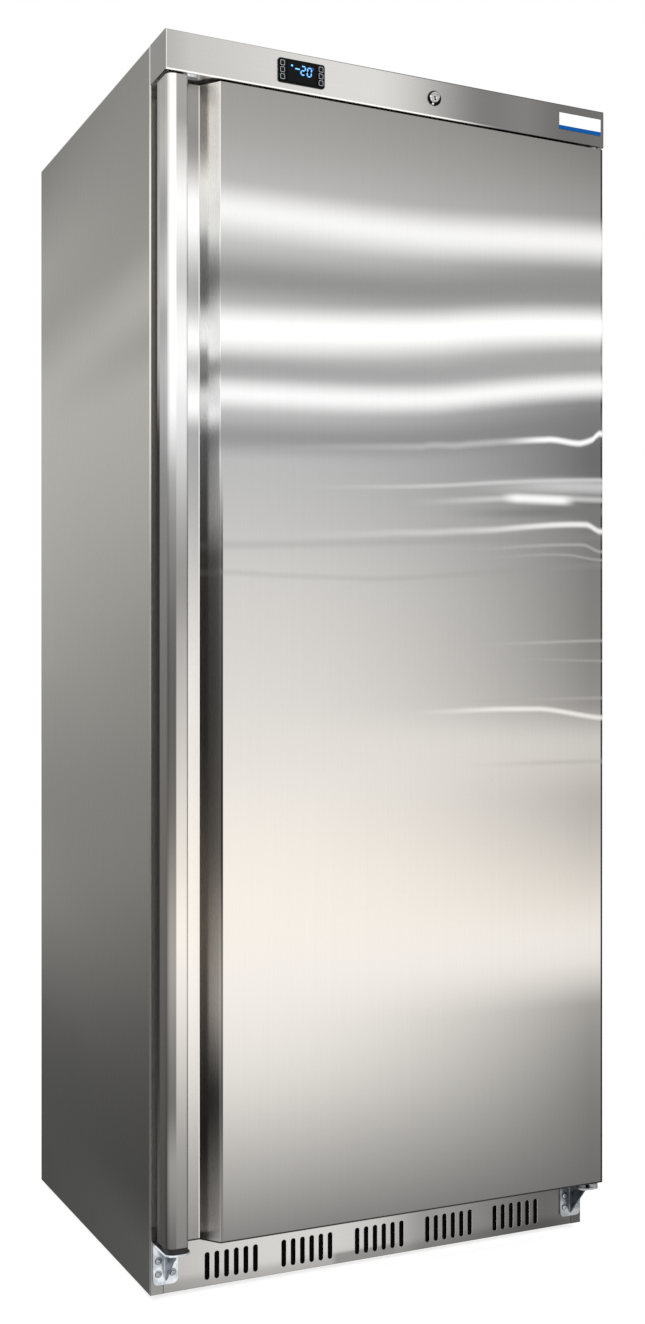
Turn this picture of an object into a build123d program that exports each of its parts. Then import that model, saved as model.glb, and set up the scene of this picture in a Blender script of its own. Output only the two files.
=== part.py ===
from build123d import *
from math import radians, sin
import os

os.makedirs("parts", exist_ok=True)

# Upright freezer with one door, hinged on its right side. Millimetres, +Z up, +Y to the rear.
# The origin is at the centre of the footprint, on the floor.

# Overall size
width = 777.0  # over the side panels
depth = 695.0  # header front to rear
height = 1895.0  # floor to roof
header_projection = 68.0  # header front before the cabinet's front plane
header_height = 60.0
ground_gap = 10.0  # floor to the side panels' lower edge

# Sheet metal and clearances
sheet = 1.0  # stainless and galvanised panels
bend = 1.5  # outer radius of a folded edge
fit_gap = 0.3  # between neighbours that only lie side by side
seat_gap = 0.3  # under a piece that rests or closes on another
bore_gap = 0.05  # radial, a pin or plug in its bore

# Cabinet walls and inside
front_return = 20.0  # side panel's fold round to the front
rear_return = 15.0
roof_flange = 12.0
side_wall = 60.0  # outer face to liner face
rear_wall = 60.0
roof_wall = 110.0
floor_wall = 61.0
liner_wall = 2.0
liner_lip = 14.0
liner_radius = 12.0
underfloor_height = 103.0  # floor to the sheet under the insulated floor
compartment_depth = 250.0  # machine compartment, before the rear panel
compartment_height = 330.0  # floor to its roof
step_wall = 52.0  # insulation over and before the machine compartment

# Base, feet and rollers
pan_sheet = 1.5
pan_height = 30.0  # floor to the base pan's underside
pan_skirt = 18.0
pan_setback = 60.0  # base pan's front edge behind the cabinet's front plane
foot_inset = 60.0  # foot or roller centre in from the side
foot_setback = 90.0
foot_diameter = 38.0
foot_height = 8.0
stem_diameter = 10.0
stem_rise = 12.0  # stem above the base pan
foot_nut_size = 17.0
foot_nut_height = 6.0
roller_setback = 60.0  # axle before the rear panel
roller_diameter = 27.0
roller_width = 20.0
roller_axle = 6.0
roller_cheek = 2.0
roller_bracket_length = 34.0
roller_side_gap = 0.5

# Grille
grille_height = 91.0
grille_flange = 12.0
slot_groups = 5
slots_in_group = 6
group_pitch = 128.4
slot_pitch = 16.05
slot_length = 40.8
slot_width = 6.5
slot_rise = 30.9  # grille's lower edge to the slots' centre

# Door
door_side_gap = 2.75
door_top_gap = 4.5
door_bottom_height = 98.5  # floor to the door's lower edge
door_proud = 2.0  # door front before the header front
skin_depth = 46.0
skin_return = 12.0
grip_bar = 33.25  # width of the handle's front face
grip_depth = 30.0  # finger recess behind the door front
grip_floor = 28.0  # width of the recess's floor
grip_slope = 22.0  # width of the slanted wall up to the door front
grip_corner = 11.5
grip_nose = 5.5
skin_corner = 3.0
skin_seam = 0.4
door_liner_inset = 9.0
door_liner_depth = 8.0
dyke_inset = 44.0  # raised ring inside the gasket
dyke_width = 34.0
dyke_height = 8.0
dyke_corner = 18.0
gasket_inset = 16.0  # gasket's edge in from the door's
gasket_width = 22.0
gasket_section = (  # half of it, shares of its width and depth from the door to the cabinet
    (0.28, 0.0),
    (0.28, 0.2),
    (0.42, 0.4),
    (0.25, 0.6),
    (0.5, 0.75),
    (0.5, 1.0),
)

# Hinges
hinge_inset = 15.4  # axis in from the cabinet's right side
hinge_setback = 15.0  # axis behind the door front
pin_diameter = 10.0
pin_reach = 18.0  # pin inside the door
bush_wall = 3.0
bush_drop = 3.0  # lower bush below the door
washer_diameter = 20.0
bracket_width = 39.5
bracket_side_gap = 3.5  # plate's outer edge in from the side
bracket_sheet = 3.0
bracket_plate_height = 65.0
bracket_corner = 8.0
tab_reach = 66.0
tab_corner = 14.0
tab_gap = 8.5  # tab's top to the door's lower edge
gusset_reach = 54.0
bracket_screw_pitch = 23.0
bracket_screw_rise = 26.0
bracket_screw_row = 20.0
screw_head = 9.0
screw_head_height = 2.4
rest_pad_width = 30.0
rest_pad_length = 40.0
upper_plate = 4.0
upper_bracket_rise = 44.0
upper_bracket_width = 28.0
header_pin_hole = 13.0
blank_inset = 44.0  # blank's centre in from the left side
blank_width = 18.0
blank_length = 12.0
blank_height = 2.0

# Lock
lock_inset = 325.8  # lock's axis in from the right side
lock_flange = 23.5
lock_thread = 19.0
lock_proud = 3.0  # lock ring before the header front
lock_length = 22.0
lock_plug_diameter = 12.0
lock_plug_back = 0.6  # plug's face behind the ring's
lock_nut_size = 24.0
lock_nut_height = 4.0
keyway_height = 7.0
keyway_width = 1.8
keyway_depth = 10.0
cam_length = 46.0
cam_width = 12.0
cam_sheet = 3.0
cam_clearance = 2.0
keeper_depth = 20.0
keeper_wall = 1.0

# Controller and label plate
controller_inset = 218.7  # controller's centre in from the left side
bezel_width = 78.0
bezel_height = 36.5
bezel_corner = 4.0
bezel_chamfer = 0.5
bezel_proud = 2.5
controller_body_width = 70.0
controller_body_height = 28.0
controller_body_depth = 56.0
window_width = 46.0
window_height = 31.0
window_depth = 1.2
keys_each_side = 3
key_width = 8.8
key_height = 9.4
key_pitch = 10.4
key_offset = 32.2  # key column from the bezel's centre
key_depth = 1.6
key_travel = 0.5
key_proud = 0.4
badge_width = 82.0
badge_height = 27.0
badge_inset = 7.0
badge_thickness = 0.8
badge_rise = 2.3  # plate's centre above the header's

# Evaporator
shelf_count = 6
shelf_pitch = 228.0
shelf_first = 15.0  # lowest shelf above the step in the liner
shelf_side_gap = 12.0
shelf_front_gap = 55.0
shelf_rear_gap = 26.0
coil_diameter = 9.0
coil_runs = 6
wire_size = 3.5
wire_count = 9
wire_margin = 16.0
rail_width = 20.0
rail_sheet = 2.0
rail_setback = 110.0
rail_hook_depth = 22.0
rail_hook_height = 6.0
probe_diameter = 6.0
probe_length = 45.0
probe_drop = 120.0

# Machine compartment
compressor_inset = 198.5  # shell's axis in from the left side
compressor_setback = 118.0
compressor_radius = 76.0
compressor_height = 165.0
compressor_shoulder = 34.0
compressor_foot_length = 196.0
compressor_foot_width = 120.0
compressor_foot_sheet = 3.0
grommet_diameter = 20.0
grommet_height = 12.0
grommet_pitch_x = 168.0
grommet_pitch_y = 92.0
terminal_width = 56.0
terminal_depth = 34.0
terminal_height = 46.0
condenser_inset = 268.5  # condenser's centre in from the right side
condenser_setback = 214.0
condenser_width = 250.0
condenser_height = 200.0
condenser_depth = 44.0
condenser_plate = 1.5
fin_gap = 15.0
fin_pitch = 25.0
fin_groove = 8.0
condenser_tube = 9.0
condenser_tube_pitch = 50.0
condenser_bends = 2
condenser_bend_pitch = 75.0
condenser_bend_first = 30.0  # lowest bend above the base pan
condenser_bend_stagger = 12.5  # right bends above, left bends below that height
shroud_sheet = 1.5
shroud_depth = 28.0
fan_diameter = 172.0
fan_ring_gap = 4.0
fan_ring_wall = 1.5
fan_blades = 5
fan_hub = 38.0
fan_hub_depth = 24.0
fan_pitch_angle = 28.0
fan_blade_thickness = 1.8
fan_blade_angles = (100, 80)  # blade's root corners
fan_shaft = 6.0
motor_diameter = 72.0
motor_length = 50.0
motor_gap = 4.0
motor_arm_width = 14.0
motor_arm_sheet = 3.0
motor_arms = 3
line_diameter = 8.0
line_offset = 14.0  # line from the part it runs past
drier_diameter = 22.0
drier_length = 100.0
vent_columns = 5
vent_rows = 5
vent_width = 84.0
vent_height = 8.0
vent_pitch_x = 118.0
vent_pitch_z = 30.0
vent_rise = 178.0
inlet_inset = 88.5  # mains socket's centre in from the left side
inlet_rise = 66.0
inlet_width = 48.0
inlet_height = 28.0
inlet_socket_width = 26.0
inlet_socket_height = 18.0
inlet_body_depth = 22.0
inlet_socket_depth = 15.0

# Planes that the pieces share
half_width = width / 2
header_y = -(depth + lock_proud) / 2 + lock_proud
cabinet_y = header_y + header_projection
rear_y = header_y + depth
roof_z = height - sheet
header_bottom = height - header_height
header_middle = height - header_height / 2
rear_inside = rear_y - 2 * sheet
inside_half = half_width - side_wall
inside_bottom = underfloor_height + sheet + floor_wall
inside_top = height - roof_wall
inside_rear = rear_y - rear_wall
compartment_y = rear_y - compartment_depth
step_y = compartment_y - step_wall
step_top = compartment_height + step_wall
pan_top = pan_height + pan_sheet
door_front = header_y - door_proud
door_left = -half_width + door_side_gap
door_right = half_width - door_side_gap
door_top = header_bottom - door_top_gap
door_bottom = door_bottom_height
skin_rear = door_front + skin_depth
door_liner_rear = skin_rear + door_liner_depth
hinge_x = half_width - hinge_inset
hinge_y = door_front + hinge_setback
tab_top = door_bottom - tab_gap
bracket_x = half_width - bracket_side_gap - bracket_width / 2
bush_diameter = pin_diameter + 2 * bush_wall
bush_bottom = door_bottom - bush_drop
grip_seam_x = door_left + grip_bar + grip_floor
cam_y = header_y + lock_length + bore_gap + cam_sheet / 2
blank_x = -half_width + blank_inset
lock_x = half_width - lock_inset
controller_x = -half_width + controller_inset
compressor_x = -half_width + compressor_inset
condenser_x = half_width - condenser_inset
inlet_x = -half_width + inlet_inset


def finish(piece, name):
    """Labels a finished piece and writes its file."""
    piece.part.label = name
    export_step(piece.part, f"parts/{name}.step")


def front_plane(y):
    """Upright plane at y, seen from the front: local x to the right, local y up, facing the viewer."""
    return Plane.XZ.offset(-y)


def block(x, y, z, mode=Mode.ADD):
    """Adds or cuts a block in the open part, between the two ends given for each axis."""
    with BuildSketch(Plane.XY.offset(z[0])) as profile:
        with Locations(((x[0] + x[1]) / 2, (y[0] + y[1]) / 2)):
            Rectangle(x[1] - x[0], y[1] - y[0])
    extrude(profile.sketch, amount=z[1] - z[0], mode=mode)


def disc(x, y, z, diameter, mode=Mode.ADD):
    """Adds or cuts an upright cylinder in the open part, between two heights."""
    with BuildSketch(Plane.XY.offset(z[0])) as profile:
        with Locations((x, y)):
            Circle(diameter / 2)
    extrude(profile.sketch, amount=z[1] - z[0], mode=mode)


def turned(x, z, y, diameter, mode=Mode.ADD):
    """Adds or cuts a cylinder that lies along Y in the open part, between two depths."""
    with BuildSketch(front_plane(y[0])) as profile:
        with Locations((x, z)):
            Circle(diameter / 2)
    extrude(profile.sketch, amount=y[0] - y[1], mode=mode)


def flat_tube(points, diameter, sides=8):
    """Sweeps a tube with flat sides along straight runs, mitred where they meet."""
    with BuildLine(mode=Mode.PRIVATE) as route:
        Polyline(points)
    with BuildSketch(Plane(origin=points[0], z_dir=Vector(*points[1]) - Vector(*points[0]))) as profile:
        RegularPolygon(diameter / 2, sides, major_radius=False, rotation=180 / sides)
    sweep(profile.sketch, path=route.line, transition=Transition.RIGHT)


# Cabinet shell: a side panel wraps its front and rear edges
for side, side_name in ((-1, "left"), (1, "right")):
    panel_outside = side * half_width
    panel_inside = side * (half_width - sheet)
    with BuildPart() as side_panel:
        with BuildSketch(Plane.XY.offset(ground_gap)):
            with BuildLine():
                FilletPolyline(
                    (panel_outside, rear_y),
                    (panel_outside, cabinet_y),
                    (side * (half_width - front_return), cabinet_y),
                    (side * (half_width - front_return), cabinet_y + sheet),
                    (panel_inside, cabinet_y + sheet),
                    (panel_inside, rear_y - sheet),
                    (side * (half_width - rear_return), rear_y - sheet),
                    (side * (half_width - rear_return), rear_y),
                    radius=(bend, bend, 0, 0, 0, 0, 0, 0),
                    close=True,
                )
            make_face()
        extrude(amount=roof_z - ground_gap)
    finish(side_panel, f"{side_name}_side_panel")

with BuildPart() as top_panel:
    block((-half_width, half_width), (cabinet_y, rear_y), (roof_z, height))
    for flange_x in (-half_width + sheet, half_width - 2 * sheet):
        block(
            (flange_x, flange_x + sheet),
            (cabinet_y + front_return, rear_y - rear_return),
            (roof_z - roof_flange, roof_z),
        )
finish(top_panel, "top_panel")

with BuildPart() as rear_panel:
    block(
        (-half_width + sheet, half_width - sheet),
        (rear_inside, rear_y - sheet),
        (compartment_height + fit_gap, roof_z),
    )
finish(rear_panel, "rear_panel")

with BuildPart() as front_frame:
    with BuildSketch(front_plane(cabinet_y)):
        with Locations((0, (underfloor_height + roof_z) / 2)):
            Rectangle(2 * (half_width - front_return - fit_gap), roof_z - underfloor_height)
        with Locations((0, (inside_bottom + inside_top) / 2)):
            Rectangle(2 * inside_half, inside_top - inside_bottom, mode=Mode.SUBTRACT)
    extrude(amount=-sheet)
finish(front_frame, "front_frame")


# Inner liner and the foam round it, both cut to the same stepped outline
def inside_outline(grow):
    """Side view of the cold space, its walls moved out by grow."""
    FilletPolyline(
        (cabinet_y + sheet, inside_bottom - grow),
        (step_y + grow, inside_bottom - grow),
        (step_y + grow, step_top - grow),
        (inside_rear + grow, step_top - grow),
        (inside_rear + grow, inside_top + grow),
        (cabinet_y + sheet, inside_top + grow),
        radius=(0, liner_radius + grow, liner_radius - grow, liner_radius + grow, liner_radius + grow, 0),
        close=True,
    )


def inside_space(grow, mode):
    """Adds or cuts the cold space, its walls moved out by grow."""
    with BuildSketch(Plane.YZ.offset(-inside_half - grow)) as profile:
        with BuildLine():
            inside_outline(grow)
        make_face()
    extrude(profile.sketch, amount=2 * (inside_half + grow), mode=mode)


def liner_lip_block(mode):
    """Adds or cuts the liner's front lip, before its opening is cut."""
    block(
        (-inside_half - liner_lip, inside_half + liner_lip),
        (cabinet_y + sheet, cabinet_y + sheet + liner_wall),
        (inside_bottom - liner_lip, inside_top + liner_lip),
        mode,
    )


with BuildPart() as inner_liner:
    inside_space(liner_wall, Mode.ADD)
    liner_lip_block(Mode.ADD)
    inside_space(0, Mode.SUBTRACT)
finish(inner_liner, "inner_liner")

with BuildPart() as cabinet_insulation:
    with BuildSketch(Plane.YZ.offset(-half_width + sheet)):
        with BuildLine():
            Polyline(
                (cabinet_y + sheet, underfloor_height + sheet),
                (compartment_y, underfloor_height + sheet),
                (compartment_y, compartment_height),
                (rear_inside, compartment_height),
                (rear_inside, roof_z),
                (cabinet_y + sheet, roof_z),
                close=True,
            )
        make_face()
    extrude(amount=2 * (half_width - sheet))
    inside_space(liner_wall, Mode.SUBTRACT)
    liner_lip_block(Mode.SUBTRACT)
    for flange_x in (-half_width + sheet, half_width - 2 * sheet):
        block(
            (flange_x, flange_x + sheet),
            (cabinet_y + front_return, rear_y - rear_return),
            (roof_z - roof_flange, roof_z),
            Mode.SUBTRACT,
        )
finish(cabinet_insulation, "cabinet_insulation")

with BuildPart() as compartment_sheet:
    with BuildSketch(Plane.YZ.offset(-half_width + sheet)):
        with BuildLine():
            Polyline(
                (cabinet_y + sheet, underfloor_height),
                (compartment_y + sheet, underfloor_height),
                (compartment_y + sheet, compartment_height - sheet),
                (rear_inside, compartment_height - sheet),
                (rear_inside, compartment_height),
                (compartment_y, compartment_height),
                (compartment_y, underfloor_height + sheet),
                (cabinet_y + sheet, underfloor_height + sheet),
                close=True,
            )
        make_face()
    extrude(amount=2 * (half_width - sheet))
finish(compartment_sheet, "compartment_sheet")

# Base pan: a tray turned upside down, with a hole for each foot's stem
foot_places = [(side * (half_width - foot_inset), cabinet_y + foot_setback) for side in (-1, 1)]
with BuildPart() as base_pan:
    block(
        (-half_width + sheet, half_width - sheet),
        (cabinet_y + pan_setback, rear_inside),
        (pan_top - pan_skirt, pan_top),
    )
    block(
        (-half_width + sheet + pan_sheet, half_width - sheet - pan_sheet),
        (cabinet_y + pan_setback + pan_sheet, rear_inside - pan_sheet),
        (pan_top - pan_skirt, pan_height),
        Mode.SUBTRACT,
    )
    with BuildSketch(Plane.XY.offset(pan_height)):
        with Locations(foot_places):
            RegularPolygon(stem_diameter / 2 + fit_gap, 8)
    extrude(amount=pan_sheet, mode=Mode.SUBTRACT)
finish(base_pan, "base_pan")

with BuildPart() as front_feet:
    with BuildSketch():
        with Locations(foot_places):
            RegularPolygon(foot_diameter / 2, 12)
    extrude(amount=foot_height)
    with BuildSketch(Plane.XY.offset(foot_height)):
        with Locations(foot_places):
            RegularPolygon(stem_diameter / 2, 8)
    extrude(amount=pan_top + stem_rise - foot_height)
    with BuildSketch(Plane.XY.offset(pan_height - foot_nut_height)):
        with Locations(foot_places):
            RegularPolygon(foot_nut_size / 2, 6, major_radius=False)
    extrude(amount=foot_nut_height)
finish(front_feet, "front_feet")

# Rear rollers, each between the cheeks of its bracket
roller_y = rear_y - roller_setback
roller_z = roller_diameter / 2
cheek_inside = roller_width / 2 + roller_side_gap
with BuildPart() as roller_brackets:
    for side in (-1, 1):
        roller_x = side * (half_width - foot_inset)
        block(
            (roller_x - cheek_inside - roller_cheek, roller_x + cheek_inside + roller_cheek),
            (roller_y - roller_bracket_length / 2, roller_y + roller_bracket_length / 2),
            (pan_height - pan_sheet, pan_height),
        )
        for cheek in (-1, 1):
            with BuildSketch(Plane.YZ.offset(roller_x + cheek * (cheek_inside + roller_cheek / 2))):
                with BuildLine():
                    Polyline(
                        (roller_y - roller_bracket_length / 2, pan_height),
                        (roller_y - roller_axle, roller_z - roller_axle),
                        (roller_y + roller_axle, roller_z - roller_axle),
                        (roller_y + roller_bracket_length / 2, pan_height),
                        close=True,
                    )
                make_face()
            extrude(amount=roller_cheek / 2, both=True)
        with BuildSketch(Plane.YZ.offset(roller_x - cheek_inside - roller_cheek)):
            with Locations((roller_y, roller_z)):
                Circle(roller_axle / 2)
        extrude(amount=2 * (cheek_inside + roller_cheek))
finish(roller_brackets, "roller_brackets")

for side, side_name in ((-1, "left"), (1, "right")):
    roller_x = side * (half_width - foot_inset)
    with BuildPart() as roller:
        with BuildSketch(Plane.YZ.offset(roller_x - roller_width / 2)):
            with Locations((roller_y, roller_z)):
                Circle(roller_diameter / 2)
                Circle(roller_axle / 2 + bore_gap, mode=Mode.SUBTRACT)
        extrude(amount=roller_width)
    finish(roller, f"rear_roller_{side_name}")

# Front grille: a folded sheet between the side panels' returns
grille_half = half_width - front_return - fit_gap
grille_top = ground_gap + grille_height
with BuildPart() as front_grille:
    block((-grille_half, grille_half), (cabinet_y, cabinet_y + grille_flange), (ground_gap, grille_top))
    block(
        (-grille_half, grille_half),
        (cabinet_y + sheet, cabinet_y + grille_flange),
        (ground_gap + sheet, grille_top - sheet),
        Mode.SUBTRACT,
    )
    with BuildSketch(front_plane(cabinet_y)) as grille_slots:
        with Locations((0, ground_gap + slot_rise)):
            with GridLocations(group_pitch, 1, slot_groups, 1):
                with GridLocations(slot_pitch, 1, slots_in_group, 1):
                    Rectangle(slot_width, slot_length)
        chamfer(grille_slots.vertices(), slot_width * (1 - sin(radians(45))))
    extrude(amount=-sheet, mode=Mode.SUBTRACT)
finish(front_grille, "front_grille")

# Rear service cover with rows of vents, and the socket for a mains lead
with BuildPart() as rear_service_cover:
    block(
        (-half_width + sheet + fit_gap, half_width - sheet - fit_gap),
        (rear_inside, rear_y - sheet),
        (ground_gap, compartment_height),
    )
    with BuildSketch(front_plane(rear_inside)):
        with Locations((0, vent_rise)):
            with GridLocations(vent_pitch_x, vent_pitch_z, vent_columns, vent_rows):
                Rectangle(vent_width, vent_height)
        with Locations((inlet_x, inlet_rise)):
            Rectangle(inlet_width - 4 * sheet, inlet_height - 4 * sheet)
    extrude(amount=-sheet, mode=Mode.SUBTRACT)
finish(rear_service_cover, "rear_service_cover")

with BuildPart() as power_inlet:
    with BuildSketch(front_plane(rear_y)):
        with Locations((inlet_x, inlet_rise)):
            RectangleRounded(inlet_width, inlet_height, 2 * sheet)
    extrude(amount=sheet)
    with BuildSketch(front_plane(rear_y - sheet)):
        with Locations((inlet_x, inlet_rise)):
            Rectangle(inlet_width - 4 * sheet - 2 * fit_gap, inlet_height - 4 * sheet - 2 * fit_gap)
    extrude(amount=inlet_body_depth)
    with BuildSketch(front_plane(rear_y)):
        with Locations((inlet_x, inlet_rise)):
            Rectangle(inlet_socket_width, inlet_socket_height)
    extrude(amount=inlet_socket_depth, mode=Mode.SUBTRACT)
finish(power_inlet, "power_inlet")

# Header: a folded box, open to the cabinet behind it
header_left = -half_width + sheet
header_right = half_width - sheet
cam_slot = (lock_x - cam_width / 2 - cam_clearance, lock_x + cam_length - cam_clearance)
cam_slot_y = (cam_y - cam_sheet / 2 - cam_clearance, cam_y + cam_sheet / 2 + cam_clearance)
with BuildPart() as header_panel:
    block((-half_width, half_width), (header_y, cabinet_y), (header_bottom, height))
    fillet(header_panel.faces().sort_by(Axis.Y)[0].edges(), bend)
    block(
        (header_left, header_right),
        (header_y + sheet, cabinet_y),
        (header_bottom + sheet, roof_z),
        Mode.SUBTRACT,
    )
    with BuildSketch(front_plane(header_y)):
        with Locations((controller_x, header_middle)):
            Rectangle(controller_body_width + 2 * fit_gap, controller_body_height + 2 * fit_gap)
        with Locations((lock_x, header_middle)):
            Circle(lock_thread / 2 + bore_gap)
    extrude(amount=-sheet, mode=Mode.SUBTRACT)
    disc(hinge_x, hinge_y, (header_bottom, header_bottom + sheet), header_pin_hole, Mode.SUBTRACT)
    block(cam_slot, cam_slot_y, (header_bottom, header_bottom + sheet), Mode.SUBTRACT)
finish(header_panel, "header_panel")

# Blank plate under the header's left end, where a left hinge would go
with BuildPart() as upper_hinge_blank:
    block(
        (blank_x - blank_width / 2, blank_x + blank_width / 2),
        (hinge_y - blank_length / 2, hinge_y + blank_length / 2),
        (header_bottom - blank_height, header_bottom),
    )
    chamfer(upper_hinge_blank.edges().filter_by(Axis.Z), 2 * sheet)
finish(upper_hinge_blank, "upper_hinge_blank")

# Temperature controller
controller_front = header_y - bezel_proud
key_places = [
    (side * key_offset, (row - (keys_each_side - 1) / 2) * key_pitch)
    for side in (-1, 1)
    for row in range(keys_each_side)
]
with BuildPart() as controller_housing:
    with BuildSketch(front_plane(header_y)):
        with Locations((controller_x, header_middle)):
            RectangleRounded(bezel_width, bezel_height, bezel_corner)
    extrude(amount=bezel_proud)
    chamfer(controller_housing.faces().sort_by(Axis.Y)[0].edges(), bezel_chamfer)
    with BuildSketch(front_plane(header_y)):
        with Locations((controller_x, header_middle)):
            Rectangle(controller_body_width, controller_body_height)
    extrude(amount=-controller_body_depth)
    with BuildSketch(front_plane(controller_front)):
        with Locations((controller_x, header_middle)):
            Rectangle(window_width, window_height)
    extrude(amount=-window_depth, mode=Mode.SUBTRACT)
    with BuildSketch(front_plane(controller_front)):
        for key_x, key_z in key_places:
            with Locations((controller_x + key_x, header_middle + key_z)):
                Rectangle(key_width + 2 * fit_gap, key_height + 2 * fit_gap)
    extrude(amount=-key_depth - key_travel + key_proud, mode=Mode.SUBTRACT)
finish(controller_housing, "controller_housing")

with BuildPart() as display_window:
    with BuildSketch(front_plane(controller_front + window_depth)):
        with Locations((controller_x, header_middle)):
            Rectangle(window_width, window_height)
    extrude(amount=window_depth)
finish(display_window, "display_window")

for number, (key_x, key_z) in enumerate(key_places, start=1):
    with BuildPart() as controller_key:
        with BuildSketch(front_plane(controller_front - key_proud)):
            with Locations((controller_x + key_x, header_middle + key_z)):
                Rectangle(key_width, key_height)
        extrude(amount=-key_depth)
    finish(controller_key, f"controller_key_{number}")

# Lock: ringed barrel, nut, and the turning plug with a cam on its tail
lock_front = header_y - lock_proud
lock_rear = header_y + lock_length
with BuildPart() as lock_barrel:
    turned(lock_x, header_middle, (lock_front, header_y), lock_flange)
    chamfer(lock_barrel.faces().sort_by(Axis.Y)[0].edges(), sheet)
    turned(lock_x, header_middle, (header_y, lock_rear), lock_thread)
    turned(lock_x, header_middle, (lock_front, lock_rear), lock_plug_diameter + 2 * bore_gap, Mode.SUBTRACT)
finish(lock_barrel, "lock_barrel")

with BuildPart() as lock_nut:
    with BuildSketch(front_plane(header_y + sheet)):
        with Locations((lock_x, header_middle)):
            RegularPolygon(lock_nut_size / 2, 6, major_radius=False)
            Circle(lock_thread / 2 + bore_gap, mode=Mode.SUBTRACT)
    extrude(amount=-lock_nut_height)
finish(lock_nut, "lock_nut")

with BuildPart() as lock_plug:
    turned(lock_x, header_middle, (lock_front + lock_plug_back, cam_y), lock_plug_diameter)
    with BuildSketch(front_plane(lock_front)):
        with Locations((lock_x, header_middle)):
            Rectangle(keyway_width, keyway_height)
    extrude(amount=-keyway_depth, mode=Mode.SUBTRACT)
    with BuildSketch(front_plane(cam_y - cam_sheet / 2)):
        with Locations((lock_x + (cam_length - cam_width / 2) / 2, header_middle)):
            Rectangle(cam_length + cam_width / 2, cam_width)
    extrude(amount=-cam_sheet)
finish(lock_plug, "lock_plug")

# Bare label plate at the header's right end
with BuildPart() as badge_plate:
    with BuildSketch(front_plane(header_y)):
        with Locations((half_width - badge_inset - badge_width / 2, header_middle + badge_rise)):
            Rectangle(badge_width, badge_height)
    extrude(amount=badge_thickness)
finish(badge_plate, "badge_plate")


# Lower hinge brackets: plate, tab and gusset, one at each side
def lower_bracket(side):
    """Adds one lower bracket to the open part."""
    plate_middle = side * bracket_x
    plate_low = tab_top - bracket_plate_height
    with BuildSketch(front_plane(cabinet_y)) as plate:
        with BuildLine():
            FilletPolyline(
                (plate_middle - bracket_width / 2, tab_top),
                (plate_middle - bracket_width / 2, plate_low),
                (plate_middle + bracket_width / 2, plate_low),
                (plate_middle + bracket_width / 2, tab_top),
                radius=(0, bracket_corner, bracket_corner, 0),
                close=True,
            )
        make_face()
    extrude(plate.sketch, amount=bracket_sheet)
    with BuildSketch(Plane.XY.offset(tab_top - bracket_sheet)) as tab:
        with BuildLine():
            FilletPolyline(
                (plate_middle - bracket_width / 2, cabinet_y),
                (plate_middle - bracket_width / 2, cabinet_y - tab_reach),
                (plate_middle + bracket_width / 2, cabinet_y - tab_reach),
                (plate_middle + bracket_width / 2, cabinet_y),
                radius=(0, tab_corner, tab_corner, 0),
                close=True,
            )
        make_face()
    extrude(tab.sketch, amount=bracket_sheet)
    with BuildSketch(Plane.YZ.offset(plate_middle)) as gusset:
        with BuildLine():
            Polyline(
                (cabinet_y - bracket_sheet / 2, plate_low + bracket_sheet),
                (cabinet_y - bracket_sheet / 2, tab_top - bracket_sheet / 2),
                (cabinet_y - gusset_reach, tab_top - bracket_sheet / 2),
                close=True,
            )
        make_face()
    extrude(gusset.sketch, amount=bracket_sheet / 2, both=True)


with BuildPart() as lower_hinge_brackets:
    lower_bracket(-1)
    lower_bracket(1)
    disc(hinge_x, hinge_y, (tab_top - 2 * bracket_sheet, tab_top), pin_diameter + 2 * bore_gap, Mode.SUBTRACT)
finish(lower_hinge_brackets, "lower_hinge_brackets")

with BuildPart() as bracket_screws:
    screw_z = tab_top - bracket_plate_height + bracket_screw_rise
    for side in (-1, 1):
        with BuildSketch(front_plane(cabinet_y - bracket_sheet)):
            with Locations((side * bracket_x, screw_z)):
                with GridLocations(bracket_screw_pitch, bracket_screw_row, 2, 2):
                    RegularPolygon(screw_head / 2, 8)
        extrude(amount=screw_head_height)
finish(bracket_screws, "bracket_screws")

# Rubber pad on the left bracket's tab, under the handle
with BuildPart() as door_rest_pad:
    with BuildSketch(Plane.XY.offset(tab_top)) as rest_pad:
        with Locations((-bracket_x, cabinet_y - tab_reach + rest_pad_length / 2 + sheet)):
            Rectangle(rest_pad_width, rest_pad_length)
        chamfer(rest_pad.vertices(), tab_corner / 2)
    extrude(amount=tab_gap - seat_gap)
finish(door_rest_pad, "door_rest_pad")

# Upper hinge bracket, inside the header
upper_plate_z = (header_bottom + sheet, header_bottom + sheet + upper_plate)
with BuildPart() as upper_hinge_bracket:
    upper_bracket_x = (half_width - sheet - upper_bracket_width, half_width - sheet)
    block(upper_bracket_x, (hinge_y - bush_diameter / 2, cabinet_y), upper_plate_z)
    block(
        upper_bracket_x,
        (cabinet_y - upper_plate, cabinet_y),
        (upper_plate_z[0], upper_plate_z[0] + upper_bracket_rise),
    )
    disc(hinge_x, hinge_y, upper_plate_z, pin_diameter + 2 * bore_gap, Mode.SUBTRACT)
finish(upper_hinge_bracket, "upper_hinge_bracket")

# Hinge pins, and the washers that lie on them below and above the door
with BuildPart() as hinge_pins:
    disc(hinge_x, hinge_y, (tab_top - bracket_sheet, door_bottom + pin_reach), pin_diameter)
    disc(hinge_x, hinge_y, (door_top - pin_reach, upper_plate_z[1]), pin_diameter)
finish(hinge_pins, "hinge_pins")

with BuildPart() as hinge_washers:
    disc(hinge_x, hinge_y, (tab_top, bush_bottom - seat_gap), washer_diameter)
    disc(hinge_x, hinge_y, (door_top + seat_gap, header_bottom), washer_diameter)
    disc(hinge_x, hinge_y, (tab_top, header_bottom), pin_diameter + 2 * bore_gap, Mode.SUBTRACT)
finish(hinge_washers, "hinge_washers")


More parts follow.
